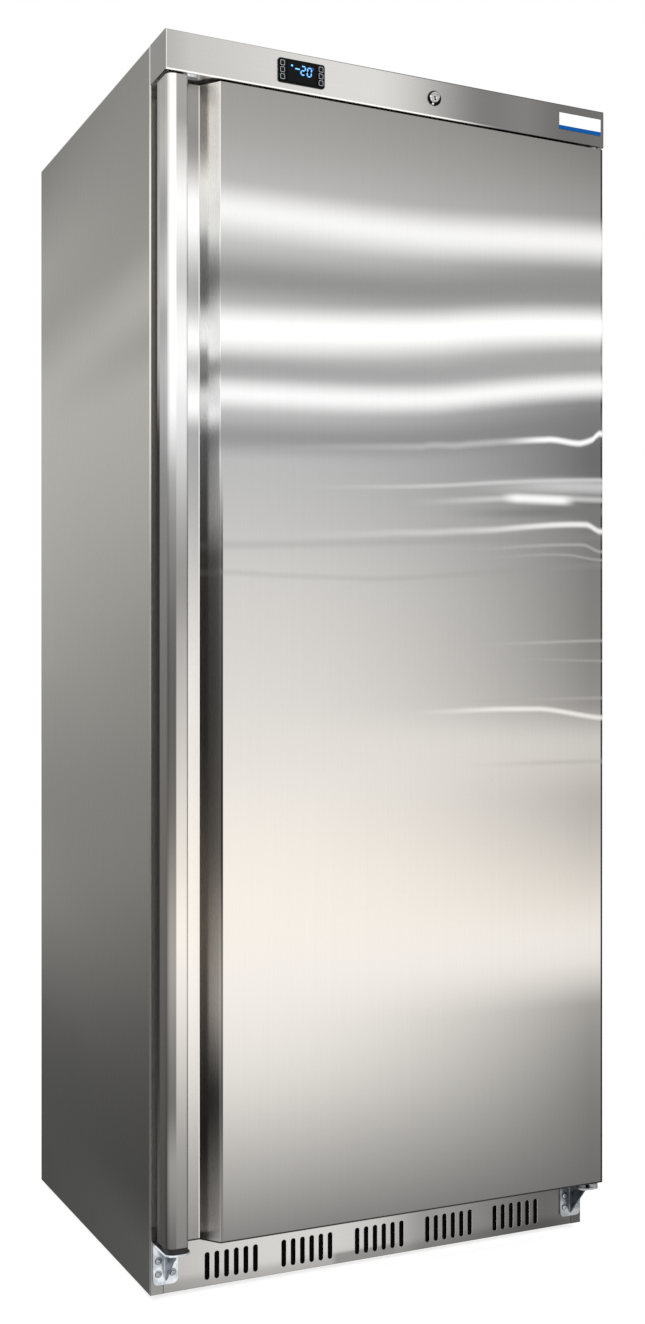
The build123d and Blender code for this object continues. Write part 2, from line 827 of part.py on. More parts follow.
# Door: one outline seen from above gives the skin, the handle and the foam
def door_outline():
    """Outer outline of the door: grip bar, finger recess, slanted wall and front face."""
    FilletPolyline(
        (door_left, skin_rear),
        (door_left, door_front),
        (door_left + grip_bar, door_front),
        (door_left + grip_bar, door_front + grip_depth),
        (grip_seam_x, door_front + grip_depth),
        (grip_seam_x + grip_slope, door_front),
        (door_right, door_front),
        (door_right, skin_rear),
        radius=(0, grip_corner, grip_nose, skin_corner, skin_corner, skin_corner, skin_corner, 0),
        close=True,
    )


with BuildSketch() as door_plan:
    with BuildLine():
        door_outline()
    make_face()
with BuildSketch() as door_hollow:
    offset(door_plan.sketch, amount=-sheet)

cam_pocket = (cam_slot[0] - keeper_wall, cam_slot[1] + keeper_wall)
cam_pocket_y = (cam_slot_y[0] - keeper_wall, cam_slot_y[1] + keeper_wall)


def door_shell():
    """Adds the whole folded skin of the door, with its ends, to the open part."""
    extrude(door_plan.sketch.moved(Location((0, 0, door_bottom))), amount=door_top - door_bottom)
    extrude(
        door_hollow.sketch.moved(Location((0, 0, door_bottom + sheet))),
        amount=door_top - door_bottom - 2 * sheet,
        mode=Mode.SUBTRACT,
    )
    block(
        (door_left + skin_return, door_right - skin_return),
        (skin_rear - sheet, skin_rear),
        (door_bottom + skin_return, door_top - skin_return),
        Mode.SUBTRACT,
    )
    disc(hinge_x, hinge_y, (door_bottom, door_top), bush_diameter + 2 * bore_gap, Mode.SUBTRACT)
    block(cam_pocket, cam_pocket_y, (door_top - sheet, door_top), Mode.SUBTRACT)


with BuildPart() as door_skin:
    door_shell()
    split(bisect_by=Plane.YZ.offset(grip_seam_x + skin_seam / 2), keep=Keep.TOP)
finish(door_skin, "door_skin")

with BuildPart() as door_handle_profile:
    door_shell()
    split(bisect_by=Plane.YZ.offset(grip_seam_x - skin_seam / 2), keep=Keep.BOTTOM)
finish(door_handle_profile, "door_handle_profile")

door_foam_inset = door_liner_inset + liner_wall + sheet
bush_pocket = bush_diameter / 2 + bore_gap
with BuildPart() as door_insulation:
    extrude(
        door_hollow.sketch.moved(Location((0, 0, door_bottom + sheet))),
        amount=door_top - door_bottom - 2 * sheet,
    )
    block(
        (door_left + door_foam_inset, door_right - door_foam_inset),
        (skin_rear - sheet, door_liner_rear - liner_wall),
        (door_bottom + door_foam_inset, door_top - door_foam_inset),
    )
    for end_z in (
        (door_bottom + sheet, door_bottom + pin_reach + bush_wall),
        (door_top - pin_reach - bush_wall, door_top - sheet),
    ):
        block(
            (hinge_x - bush_pocket, hinge_x + bush_pocket),
            (hinge_y - bush_pocket, hinge_y + bush_pocket),
            end_z,
            Mode.SUBTRACT,
        )
    block(cam_pocket, cam_pocket_y, (door_top - keeper_depth, door_top - sheet), Mode.SUBTRACT)
finish(door_insulation, "door_insulation")

with BuildPart() as door_liner:
    block(
        (door_left + door_liner_inset, door_right - door_liner_inset),
        (skin_rear, door_liner_rear),
        (door_bottom + door_liner_inset, door_top - door_liner_inset),
    )
    block(
        (door_left + door_foam_inset, door_right - door_foam_inset),
        (skin_rear, door_liner_rear - liner_wall),
        (door_bottom + door_foam_inset, door_top - door_foam_inset),
        Mode.SUBTRACT,
    )
    door_middle = (door_bottom + door_top) / 2
    with BuildSketch(front_plane(door_liner_rear)):
        with Locations((0, door_middle)):
            RectangleRounded(
                door_right - door_left - 2 * dyke_inset,
                door_top - door_bottom - 2 * dyke_inset,
                dyke_corner,
            )
            RectangleRounded(
                door_right - door_left - 2 * (dyke_inset + dyke_width),
                door_top - door_bottom - 2 * (dyke_inset + dyke_width),
                dyke_corner / 2,
                mode=Mode.SUBTRACT,
            )
    extrude(amount=-dyke_height)
finish(door_liner, "door_liner")

# Gasket: a pleated ring, drawn as its section and swept round the door
gasket_depth = cabinet_y - door_liner_rear - seat_gap
with BuildPart() as door_gasket:
    gasket_line = gasket_inset + gasket_width / 2
    with BuildLine(mode=Mode.PRIVATE) as gasket_route:
        Polyline(
            (door_left + gasket_line, door_liner_rear, door_middle),
            (door_left + gasket_line, door_liner_rear, door_top - gasket_line),
            (door_right - gasket_line, door_liner_rear, door_top - gasket_line),
            (door_right - gasket_line, door_liner_rear, door_bottom + gasket_line),
            (door_left + gasket_line, door_liner_rear, door_bottom + gasket_line),
            close=True,
        )
    with BuildSketch(Plane(origin=(door_left + gasket_line, door_liner_rear, door_middle))):
        with BuildLine():
            half_section = [(gasket_width * x, gasket_depth * y) for x, y in gasket_section]
            Polyline(half_section + [(-x, y) for x, y in reversed(half_section)], close=True)
        make_face()
    sweep(path=gasket_route.line, transition=Transition.RIGHT)
finish(door_gasket, "door_gasket")

with BuildPart() as hinge_bushes:
    disc(hinge_x, hinge_y, (bush_bottom, door_bottom + pin_reach + bush_wall), bush_diameter)
    disc(hinge_x, hinge_y, (door_top - pin_reach - bush_wall, door_top), bush_diameter)
    disc(hinge_x, hinge_y, (bush_bottom, door_top), pin_diameter + 2 * bore_gap, Mode.SUBTRACT)
finish(hinge_bushes, "hinge_bushes")

with BuildPart() as lock_keeper:
    block(cam_pocket, cam_pocket_y, (door_top - keeper_depth, door_top))
    block(cam_slot, cam_slot_y, (door_top - keeper_depth + keeper_wall, door_top), Mode.SUBTRACT)
finish(lock_keeper, "lock_keeper")

# Evaporator: each shelf is a flattened coil of tube with wires laid across it
coil_half = inside_half - shelf_side_gap
coil_rear = inside_rear - shelf_rear_gap
coil_front = cabinet_y + shelf_front_gap
run_pitch = (2 * coil_half - coil_diameter) / (coil_runs - 1)
turn_cut = run_pitch * (1 - sin(radians(45)))
shelf_levels = [step_top + shelf_first + number * shelf_pitch for number in range(shelf_count)]


def coil_route(z):
    """Corner points of one shelf's tube, which starts and ends at the rear."""
    points = []
    for run in range(coil_runs):
        x = -coil_half + coil_diameter / 2 + run * run_pitch
        ends = (coil_rear, coil_front) if run % 2 == 0 else (coil_front, coil_rear)
        for end, y in enumerate(ends):
            outer_end = (run == 0 and end == 0) or (run == coil_runs - 1 and end == 1)
            if outer_end:
                points.append((x, y, z))
                continue
            inward = turn_cut if y == coil_front else -turn_cut
            towards = turn_cut if end == 1 else -turn_cut
            turn = [(x, y + inward, z), (x + towards, y, z)]
            points.extend(turn if end == 1 else reversed(turn))
    return points


for number, level in enumerate(shelf_levels, start=1):
    with BuildPart() as evaporator_shelf:
        flat_tube(coil_route(level), coil_diameter, sides=6)
        wire_run = coil_rear - coil_front - 2 * wire_margin
        with BuildSketch(Plane.XY.offset(level + coil_diameter / 2 + bore_gap)):
            with Locations((0, (coil_front + coil_rear) / 2)):
                with GridLocations(1, wire_run / (wire_count - 1), 1, wire_count):
                    Rectangle(2 * coil_half, wire_size)
        extrude(amount=wire_size)
    finish(evaporator_shelf, f"evaporator_shelf_{number}")

with BuildPart() as evaporator_risers:
    for number in range(shelf_count - 1):
        side = 1 if number % 2 == 0 else -1
        riser_x = side * (coil_half - coil_diameter / 2)
        with BuildSketch(Plane.XY.offset(shelf_levels[number] - coil_diameter / 2)):
            with Locations((riser_x, coil_rear + coil_diameter / 2)):
                RegularPolygon(coil_diameter / 2, 8, major_radius=False, rotation=22.5)
        extrude(amount=shelf_pitch + coil_diameter)
    with BuildSketch(Plane.XY.offset(step_top)):
        with Locations((-coil_half + coil_diameter / 2, coil_rear + coil_diameter / 2)):
            RegularPolygon(coil_diameter / 2, 8, major_radius=False, rotation=22.5)
    extrude(amount=shelf_first + coil_diameter / 2)
finish(evaporator_risers, "evaporator_risers")

# Rails on the liner's side walls, with a hook under each shelf
rail_places = (cabinet_y + rail_setback, inside_rear - rail_setback)
with BuildPart() as shelf_rails:
    for side in (-1, 1):
        for rail_y in rail_places:
            rail_x = sorted((side * inside_half, side * (inside_half - rail_sheet)))
            block(
                rail_x,
                (rail_y - rail_width / 2, rail_y + rail_width / 2),
                (step_top + sheet, shelf_levels[-1] + coil_diameter),
            )
            hook_x = sorted((side * inside_half, side * (inside_half - rail_hook_depth)))
            for level in shelf_levels:
                hook_top = level - coil_diameter / 2
                block(
                    hook_x,
                    (rail_y - rail_width / 2, rail_y + rail_width / 2),
                    (hook_top - rail_hook_height, hook_top),
                )
finish(shelf_rails, "shelf_rails")

with BuildPart() as temperature_probe:
    probe_z = inside_top - probe_drop
    flat_tube([(0, inside_rear, probe_z), (0, inside_rear - probe_length, probe_z)], probe_diameter)
finish(temperature_probe, "temperature_probe")

# Compressor on its rubber grommets
compressor_y = rear_y - compressor_setback
foot_plate_z = pan_top + grommet_height
shell_z = foot_plate_z + compressor_foot_sheet
compressor_axis = Axis((compressor_x, compressor_y, 0), (0, 0, 1))
with BuildPart() as compressor:
    with BuildSketch(Plane(origin=(compressor_x, compressor_y, shell_z), x_dir=(1, 0, 0), z_dir=(0, -1, 0))):
        with BuildLine():
            Polyline(
                (0, 0),
                (compressor_radius, 0),
                (compressor_radius, compressor_height - compressor_shoulder),
                (compressor_radius - compressor_shoulder, compressor_height),
                (0, compressor_height),
                close=True,
            )
        make_face()
    revolve(axis=compressor_axis)
    with BuildSketch(Plane.XY.offset(foot_plate_z)):
        with Locations((compressor_x, compressor_y)):
            Rectangle(compressor_foot_length, compressor_foot_width)
    extrude(amount=compressor_foot_sheet)
    block(
        (compressor_x - terminal_width / 2, compressor_x + terminal_width / 2),
        (
            compressor_y + compressor_radius - terminal_depth / 2,
            compressor_y + compressor_radius + terminal_depth / 2,
        ),
        (shell_z + compressor_foot_sheet, shell_z + compressor_foot_sheet + terminal_height),
    )
finish(compressor, "compressor")

with BuildPart() as compressor_grommets:
    with BuildSketch(Plane.XY.offset(pan_top)):
        with Locations((compressor_x, compressor_y)):
            with GridLocations(grommet_pitch_x, grommet_pitch_y, 2, 2):
                RegularPolygon(grommet_diameter / 2, 8)
    extrude(amount=grommet_height)
finish(compressor_grommets, "compressor_grommets")

# Condenser: finned block between end plates, with return bends
condenser_y = rear_y - condenser_setback
condenser_z = pan_top + condenser_height / 2
condenser_left = condenser_x - condenser_width / 2
condenser_right = condenser_x + condenser_width / 2
fin_count = int((condenser_width - 4 * condenser_plate) / fin_pitch)
with BuildPart() as condenser_coil:
    block(
        (condenser_left, condenser_right),
        (condenser_y - condenser_depth / 2, condenser_y + condenser_depth / 2),
        (pan_top, pan_top + condenser_height),
    )
    for face_y, inward in ((condenser_y - condenser_depth / 2, -1), (condenser_y + condenser_depth / 2, 1)):
        with BuildSketch(front_plane(face_y)):
            with Locations((condenser_x, condenser_z)):
                with GridLocations(fin_pitch, 1, fin_count, 1):
                    Rectangle(fin_gap, condenser_height - 4 * condenser_plate)
        extrude(amount=inward * fin_groove, mode=Mode.SUBTRACT)
    for bend_number in range(condenser_bends):
        for side in (-1, 1):
            bend_x = condenser_x + side * condenser_width / 2
            bend_low = pan_top + condenser_bend_first + bend_number * condenser_bend_pitch
            bend_low += side * condenser_bend_stagger
            bend_out = bend_x + side * condenser_tube_pitch / 2
            flat_tube(
                [
                    (bend_x, condenser_y, bend_low),
                    (bend_out, condenser_y, bend_low),
                    (bend_out, condenser_y, bend_low + condenser_tube_pitch),
                    (bend_x, condenser_y, bend_low + condenser_tube_pitch),
                ],
                condenser_tube,
            )
finish(condenser_coil, "condenser_coil")

# Fan: shroud behind the condenser, motor on arms, blade turned by the motor
shroud_front = condenser_y + condenser_depth / 2
shroud_rear = shroud_front + shroud_depth
fan_opening = fan_diameter + 2 * fan_ring_gap
with BuildPart() as fan_shroud:
    block(
        (condenser_left, condenser_right),
        (shroud_front, shroud_rear),
        (pan_top, pan_top + condenser_height),
    )
    block(
        (condenser_left + shroud_sheet, condenser_right - shroud_sheet),
        (shroud_front, shroud_rear - shroud_sheet),
        (pan_top + shroud_sheet, pan_top + condenser_height - shroud_sheet),
        Mode.SUBTRACT,
    )
    turned(
        condenser_x,
        condenser_z,
        (shroud_rear - shroud_sheet, shroud_rear + fan_hub_depth / 2),
        fan_opening + 2 * fan_ring_wall,
    )
    turned(
        condenser_x,
        condenser_z,
        (shroud_rear - shroud_sheet, shroud_rear + fan_hub_depth / 2),
        fan_opening,
        Mode.SUBTRACT,
    )
finish(fan_shroud, "fan_shroud")

hub_front = shroud_rear - fan_hub_depth / 2
hub_rear = hub_front + fan_hub_depth
motor_front = hub_rear + motor_gap
with BuildPart() as fan_motor:
    turned(condenser_x, condenser_z, (motor_front, motor_front + motor_length), motor_diameter)
    turned(condenser_x, condenser_z, (hub_front, motor_front), fan_shaft)
    arm_reach = fan_opening / 2 + fan_ring_wall
    with BuildSketch(front_plane(motor_front + motor_arm_sheet)):
        with Locations((condenser_x, condenser_z)):
            with PolarLocations(0, motor_arms, start_angle=90):
                with Locations((arm_reach / 2, 0)):
                    Rectangle(arm_reach, motor_arm_width)
    extrude(amount=motor_arm_sheet)
    with BuildSketch(front_plane(motor_front)):
        with Locations((condenser_x, condenser_z)):
            with PolarLocations(arm_reach - motor_arm_sheet / 2, motor_arms, start_angle=90):
                Rectangle(motor_arm_sheet, motor_arm_width)
    extrude(amount=motor_front - shroud_rear - fan_hub_depth / 2)
finish(fan_motor, "fan_motor")

with BuildPart() as fan_blade:
    turned(condenser_x, condenser_z, (hub_front, hub_rear), fan_hub)
    blade_span = fan_diameter / 2 - fan_hub / 2 + 2 * fan_blade_thickness
    blade_middle = fan_hub / 2 + blade_span / 2 - 2 * fan_blade_thickness
    fan_centre = Plane(origin=(condenser_x, (hub_front + hub_rear) / 2, condenser_z), z_dir=(0, -1, 0))
    for blade in range(fan_blades):
        blade_plane = (fan_centre * Rot(0, 0, 360 * blade / fan_blades)) * Rot(fan_pitch_angle, 0, 0)
        with BuildSketch(blade_plane):
            with Locations((blade_middle, 0)):
                Trapezoid(fan_hub_depth + fan_hub / 2, blade_span, *fan_blade_angles, rotation=90)
        extrude(amount=fan_blade_thickness / 2, both=True)
    turned(condenser_x, condenser_z, (hub_front, hub_rear), fan_shaft + 2 * bore_gap, Mode.SUBTRACT)
finish(fan_blade, "fan_blade")

# Refrigerant circuit in the machine compartment
drier_x = compressor_x + compressor_foot_length / 2 + drier_diameter
drier_y = compartment_y + sheet + drier_diameter
drier_z = pan_top + condenser_height / 2
line_wall_y = compartment_y + sheet
with BuildPart() as filter_drier:
    flat_tube([(drier_x, drier_y, drier_z), (drier_x, drier_y, drier_z + drier_length)], drier_diameter)
finish(filter_drier, "filter_drier")

compressor_top = shell_z + compressor_height
with BuildPart() as refrigerant_lines:
    # hot line, from the compressor's top to the condenser's top
    flat_tube(
        [
            (compressor_x + compressor_radius / 2, compressor_y, compressor_top),
            (compressor_x + compressor_radius / 2, compressor_y, compressor_top + 3 * line_offset),
            (condenser_left - 3 * line_offset, compressor_y, compressor_top + 3 * line_offset),
            (condenser_left - 3 * line_offset, condenser_y, compressor_top + 3 * line_offset),
            (condenser_left - 3 * line_offset, condenser_y, pan_top + condenser_height - line_offset),
            (condenser_left, condenser_y, pan_top + condenser_height - line_offset),
        ],
        line_diameter,
    )
    # liquid line, from the condenser's foot up into the drier
    flat_tube(
        [
            (condenser_left, drier_y, pan_top + line_offset),
            (drier_x, drier_y, pan_top + line_offset),
            (drier_x, drier_y, drier_z),
        ],
        line_diameter,
    )
    # from the drier through the compartment's front wall
    flat_tube(
        [
            (drier_x, drier_y, drier_z + drier_length),
            (drier_x, drier_y, drier_z + drier_length + 2 * line_offset),
            (drier_x, line_wall_y, drier_z + drier_length + 2 * line_offset),
        ],
        line_diameter,
    )
    # cold return line, from the compartment's roof to the compressor's top
    flat_tube(
        [
            (-coil_half, compressor_y, compartment_height - sheet),
            (-coil_half, compressor_y, compressor_top + 3 * line_offset),
            (compressor_x - compressor_radius / 2, compressor_y, compressor_top + 3 * line_offset),
            (compressor_x - compressor_radius / 2, compressor_y, compressor_top),
        ],
        line_diameter,
    )
finish(refrigerant_lines, "refrigerant_lines")
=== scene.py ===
"""Looks of an upright stainless-steel freezer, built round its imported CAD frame.

Everything is in metres in the part's own frame: +Z up, +Y to the rear, the origin on the floor at the
centre of the footprint. Tones are given as they are seen, from 0 (black) to 255 (white).
"""

import logging
import math
from dataclasses import dataclass, field
from enum import Enum
from typing import Any, Iterable, Mapping, Optional, Sequence, Union

import bmesh
import bpy
from mathutils import Matrix, Vector


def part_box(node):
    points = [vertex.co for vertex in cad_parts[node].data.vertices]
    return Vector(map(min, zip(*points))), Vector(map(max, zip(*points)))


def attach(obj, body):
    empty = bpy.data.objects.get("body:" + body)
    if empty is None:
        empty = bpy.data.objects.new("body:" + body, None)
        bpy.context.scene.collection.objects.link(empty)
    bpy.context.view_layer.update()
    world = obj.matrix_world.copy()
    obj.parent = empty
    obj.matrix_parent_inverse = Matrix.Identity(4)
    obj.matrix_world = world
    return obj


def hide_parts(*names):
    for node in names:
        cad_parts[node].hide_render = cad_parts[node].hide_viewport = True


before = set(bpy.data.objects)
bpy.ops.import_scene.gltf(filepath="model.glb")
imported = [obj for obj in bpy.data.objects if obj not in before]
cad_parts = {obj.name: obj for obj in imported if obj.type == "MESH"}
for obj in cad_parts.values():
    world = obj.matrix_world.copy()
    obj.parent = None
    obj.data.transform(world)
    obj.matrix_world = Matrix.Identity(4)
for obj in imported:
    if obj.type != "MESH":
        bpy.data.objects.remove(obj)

log = logging.getLogger("freezer")
MIDDLE_GREY = 128.0
LOCK_MIDDLE = (0.0627, 1.865)
BRACKET_X = 0.36525
SCREW_PITCH = 0.0115
SCREW_ROWS = (0.041, 0.061)
Point = tuple[float, float, float]
Pair = tuple[float, float]
Tones = tuple[Pair, ...]
Warmth = tuple[tuple[float, Point], ...]

# Tints of the painted reflections on the steel sheets, by height; NEUTRAL for the header and grille.
STEEL_WARMTH: Warmth = (
    (0.10, (1.0, 0.985, 0.970)),
    (0.30, (1.0, 0.985, 0.960)),
    (0.45, (1.0, 0.980, 0.955)),
    (0.60, (1.0, 0.972, 0.935)),
    (1.00, (1.0, 0.985, 0.965)),
    (1.30, (1.0, 1.000, 1.000)),
    (1.60, (1.0, 1.000, 0.995)),
    (1.85, (1.0, 0.985, 0.965)),
)
NEUTRAL: Warmth = ((0.0, (1.0, 0.992, 0.978)), (1.9, (1.0, 0.992, 0.978)))
SIDE_WARMTH: Warmth = (
    (0.0, (1.0, 0.998, 0.975)), (0.40, (1.0, 0.990, 0.960)), (0.60, (1.0, 0.982, 0.945)),
    (1.20, (1.0, 0.986, 0.950)), (1.9, (1.0, 0.990, 0.955)),
)


# ---------------------------------------------------------------------------------------------
# Shader maths
# ---------------------------------------------------------------------------------------------
def light(tone: float) -> float:
    """Returns the linear amount of light of a tone as it is seen, 0 to 255."""
    share = tone / 255
    return share / 12.92 if share <= 0.04045 else ((share + 0.055) / 1.055) ** 2.4


def paint(tone: float, tint: Point = (1.0, 1.0, 1.0)) -> tuple[float, float, float, float]:
    """Returns a linear colour with alpha for a grey tone with a tint over it."""
    return (light(tone * tint[0]), light(tone * tint[1]), light(tone * tint[2]), 1.0)


def colour(red: float, green: float, blue: float) -> tuple[float, float, float, float]:
    """Returns a linear colour with alpha for red, green and blue tones, 0 to 255."""
    return (light(red), light(green), light(blue), 1.0)


class Value:
    """A number that changes over a surface: one output socket, used in plain expressions."""

    def __init__(self, nodes: "Nodes", socket: bpy.types.NodeSocket) -> None:
        """Wraps an output socket of the given node tree."""
        self.nodes = nodes
        self.socket = socket

    def __add__(self, other: "Operand") -> "Value":
        """Sum of two values."""
        return self.nodes.number("ADD", self, other)

    def __radd__(self, other: float) -> "Value":
        """Sum of a number and this value."""
        return self.nodes.number("ADD", other, self)

    def __sub__(self, other: "Operand") -> "Value":
        """Difference of two values."""
        return self.nodes.number("SUBTRACT", self, other)

    def __rsub__(self, other: float) -> "Value":
        """A number less this value."""
        return self.nodes.number("SUBTRACT", other, self)

    def __mul__(self, other: "Operand") -> "Value":
        """Product of two values."""
        return self.nodes.number("MULTIPLY", self, other)

    def __truediv__(self, other: "Operand") -> "Value":
        """Quotient of two values."""
        return self.nodes.number("DIVIDE", self, other)

    def __pow__(self, other: "Operand") -> "Value":
        """This value to a power."""
        return self.nodes.number("POWER", self, other)

    def __abs__(self) -> "Value":
        """Size of this value without its sign."""
        return self.nodes.number("ABSOLUTE", self)


Operand = Union[Value, float]


class Nodes:
    """The node tree of one material or of the world, built from plain calls."""

    def __init__(self, tree: bpy.types.NodeTree) -> None:
        """Empties the tree and keeps it."""
        self.tree = tree
        self.tree.nodes.clear()
        self._axes: dict[str, Value] = {}

    def add(
        self,
        kind: str,
        settings: Optional[Mapping[str, Any]] = None,
        sockets: Optional[Mapping[Union[str, int], Any]] = None,
    ) -> bpy.types.Node:
        """Adds one node.

        Args:
            kind: the node's type without its ShaderNode prefix.
            settings: its own settings, set first; "stops" fills a ramp and "ease" sets its blending.
            sockets: values, Values or output sockets for its inputs, by name or number.

        Returns:
            The new node.
        """
        node = self.tree.nodes.new(f"ShaderNode{kind}")
        for name, value in (settings or {}).items():
            if name == "stops":
                self._fill_ramp(node.color_ramp, value)
            elif name == "ease":
                node.color_ramp.interpolation = value
            else:
                setattr(node, name, value)
        for name, value in (sockets or {}).items():
            source = value.socket if isinstance(value, Value) else value
            if isinstance(source, bpy.types.NodeSocket):
                self.tree.links.new(source, node.inputs[name])
            else:
                node.inputs[name].default_value = source
        return node

    @staticmethod
    def _fill_ramp(ramp: bpy.types.ColorRamp, stops: Sequence[tuple[float, Sequence[float]]]) -> None:
        """Gives a colour ramp its stops, each a place and a colour."""
        while len(ramp.elements) < len(stops):
            ramp.elements.new(1.0)
        for element, (place, shade) in zip(ramp.elements, stops):
            element.position = place
            element.color = shade

    def number(self, operation: str, *parts: Operand) -> Value:
        """Adds a Math node.

        Args:
            operation: the name of the sum.
            parts: the numbers or values it works on.

        Returns:
            The result.
        """
        node = self.add("Math", {"operation": operation}, dict(enumerate(parts)))
        return Value(self, node.outputs[0])

    def place(self, axis: str) -> Value:
        """Returns the x, y or z of the surface in the part's own frame, whatever its pose."""
        if not self._axes:
            split = self.add("SeparateXYZ", {}, {0: self.coordinates()})
            self._axes = {name: Value(self, split.outputs[i]) for i, name in enumerate("xyz")}
        return self._axes[axis]

    def coordinates(self) -> bpy.types.NodeSocket:
        """Returns the place on the surface as a vector in the part's own frame."""
        return self.add("TexCoord").outputs["Object"]

    def stretched(self, scale: Point) -> bpy.types.NodeSocket:
        """Returns the place on the surface with each axis multiplied by its own scale."""
        sockets = {0: self.coordinates(), 1: scale}
        return self.add("VectorMath", {"operation": "MULTIPLY"}, sockets).outputs[0]

    def noise(self, scale: Point, detail: float = 2.0, rough: float = 0.5) -> Value:
        """Returns smooth noise from 0 to 1 with its own scale on each axis."""
        sockets = {"Vector": self.stretched(scale), "Scale": 1.0, "Detail": detail, "Roughness": rough}
        return Value(self, self.add("TexNoise", {}, sockets).outputs[0])

    def rise(self, value: Value, start: float, end: float) -> Value:
        """Returns 0 before start and 1 after end, smooth between them."""
        sockets = {"Value": value, "From Min": start, "From Max": end}
        node = self.add("MapRange", {"interpolation_type": "SMOOTHSTEP"}, sockets)
        return Value(self, node.outputs[0])

    def share(self, value: Value, start: float, end: float) -> Value:
        """Returns how far value has come from start to end, straight and kept from 0 to 1."""
        sockets = {"Value": value, "From Min": start, "From Max": end}
        return Value(self, self.add("MapRange", {"clamp": True}, sockets).outputs[0])

    def ramp(
        self, value: Value, stops: Sequence[tuple[float, Sequence[float]]], ease: str
    ) -> bpy.types.NodeSocket:
        """Returns the colour of a ramp whose stops are given on the value's own scale."""
        low, high = stops[0][0], stops[-1][0]
        placed = [((place - low) / (high - low), shade) for place, shade in stops]
        where = self.share(value, low, high)
        return self.add("ValToRGB", {"stops": placed, "ease": ease}, {0: where}).outputs[0]

    def path(self, value: Value, points: Sequence[Pair], ease: str = "LINEAR") -> Value:
        """Returns a number that follows the given points of value and result."""
        low, high = (pick(point[1] for point in points) for pick in (min, max))
        span = max(high - low, 1e-6)
        stops = [(place, ((result - low) / span,) * 3 + (1.0,)) for place, result in points]
        return Value(self, self.ramp(value, stops, ease)) * span + low

    def blend(self, first: Any, second: Any, factor: Operand, how: str = "MIX") -> bpy.types.NodeSocket:
        """Returns two colours blended by a factor, in the named way."""
        settings = {"data_type": "RGBA", "blend_type": how, "clamp_factor": True}
        return self.add("Mix", settings, {0: factor, 6: first, 7: second}).outputs[2]

    def bump(self, height: Value, strength: float, distance: float) -> bpy.types.NodeSocket:
        """Returns the normal of a surface raised by a small height."""
        sockets = {"Height": height, "Strength": strength, "Distance": distance}
        return self.add("Bump", {}, sockets).outputs[0]

    def surface(self, sockets: Mapping[Union[str, int], Any]) -> None:
        """Adds the Principled shader with the given sockets and makes it the surface."""
        shader = self.add("BsdfPrincipled", {}, sockets)
        self.add("OutputMaterial", {}, {"Surface": shader.outputs[0]})


# ---------------------------------------------------------------------------------------------
# Finishes
# ---------------------------------------------------------------------------------------------
@dataclass(frozen=True)
class Finish:
    """A finish that pieces can share; each kind paints its own node tree."""

    name: str

    def material(self) -> bpy.types.Material:
        """Returns this finish's material, made on its first use."""
        found = bpy.data.materials.get(self.name)
        if found is not None:
            return found
        made = bpy.data.materials.new(self.name)
        made.use_nodes = True
        self.dress(Nodes(made.node_tree))
        return made

    def dress(self, nodes: Nodes) -> None:
        """Fills the node tree of this finish."""
        raise NotImplementedError


class Grain(Enum):
    """Direction in which a sheet is brushed, as the scale of its streaks on each axis."""

    UPRIGHT = (1500.0, 1500.0, 9.0)
    LEVEL = (11.0, 11.0, 1500.0)


@dataclass(frozen=True)
class Zone:
    """A part of a sheet with its own run of painted reflections, highlights and shade, faded in along one
    axis.

    Fields:
        axis: the axis along which the zone begins and ends.
        start: where it fades in, from nothing to whole.
        tones: heights and the painted tones seen there.
        end: where it fades out again, if it does.
        power: how slowly it comes in; 1 is straight, and 0 is a smooth step.
        fill: how much of the zone's tone covers the sheet at the most.
        beside: a second axis and where the zone fades in along that one.
    """

    axis: str
    start: Pair
    tones: Tones
    end: Optional[Pair] = None
    power: float = 0.0
    fill: float = 1.0
    beside: Optional[tuple[str, Pair]] = None


@dataclass(frozen=True)
class PaintedReflection:
    """A painted reflection across a sheet: a soft pale or dark line or band.

    Fields:
        path: places along x and the line's height there.
        thickness: from its middle to where it has faded.
        tone: how bright it is.
        start: where it fades in along x; left out, it is there from the left edge.
        fill: how much it covers at the most.
        end: where it fades out again; left out, it runs to the right edge.
    """

    path: tuple[Pair, ...]
    thickness: float
    tone: float
    start: Pair = (-0.51, -0.50)
    fill: float = 0.85
    end: Pair = (0.50, 0.51)


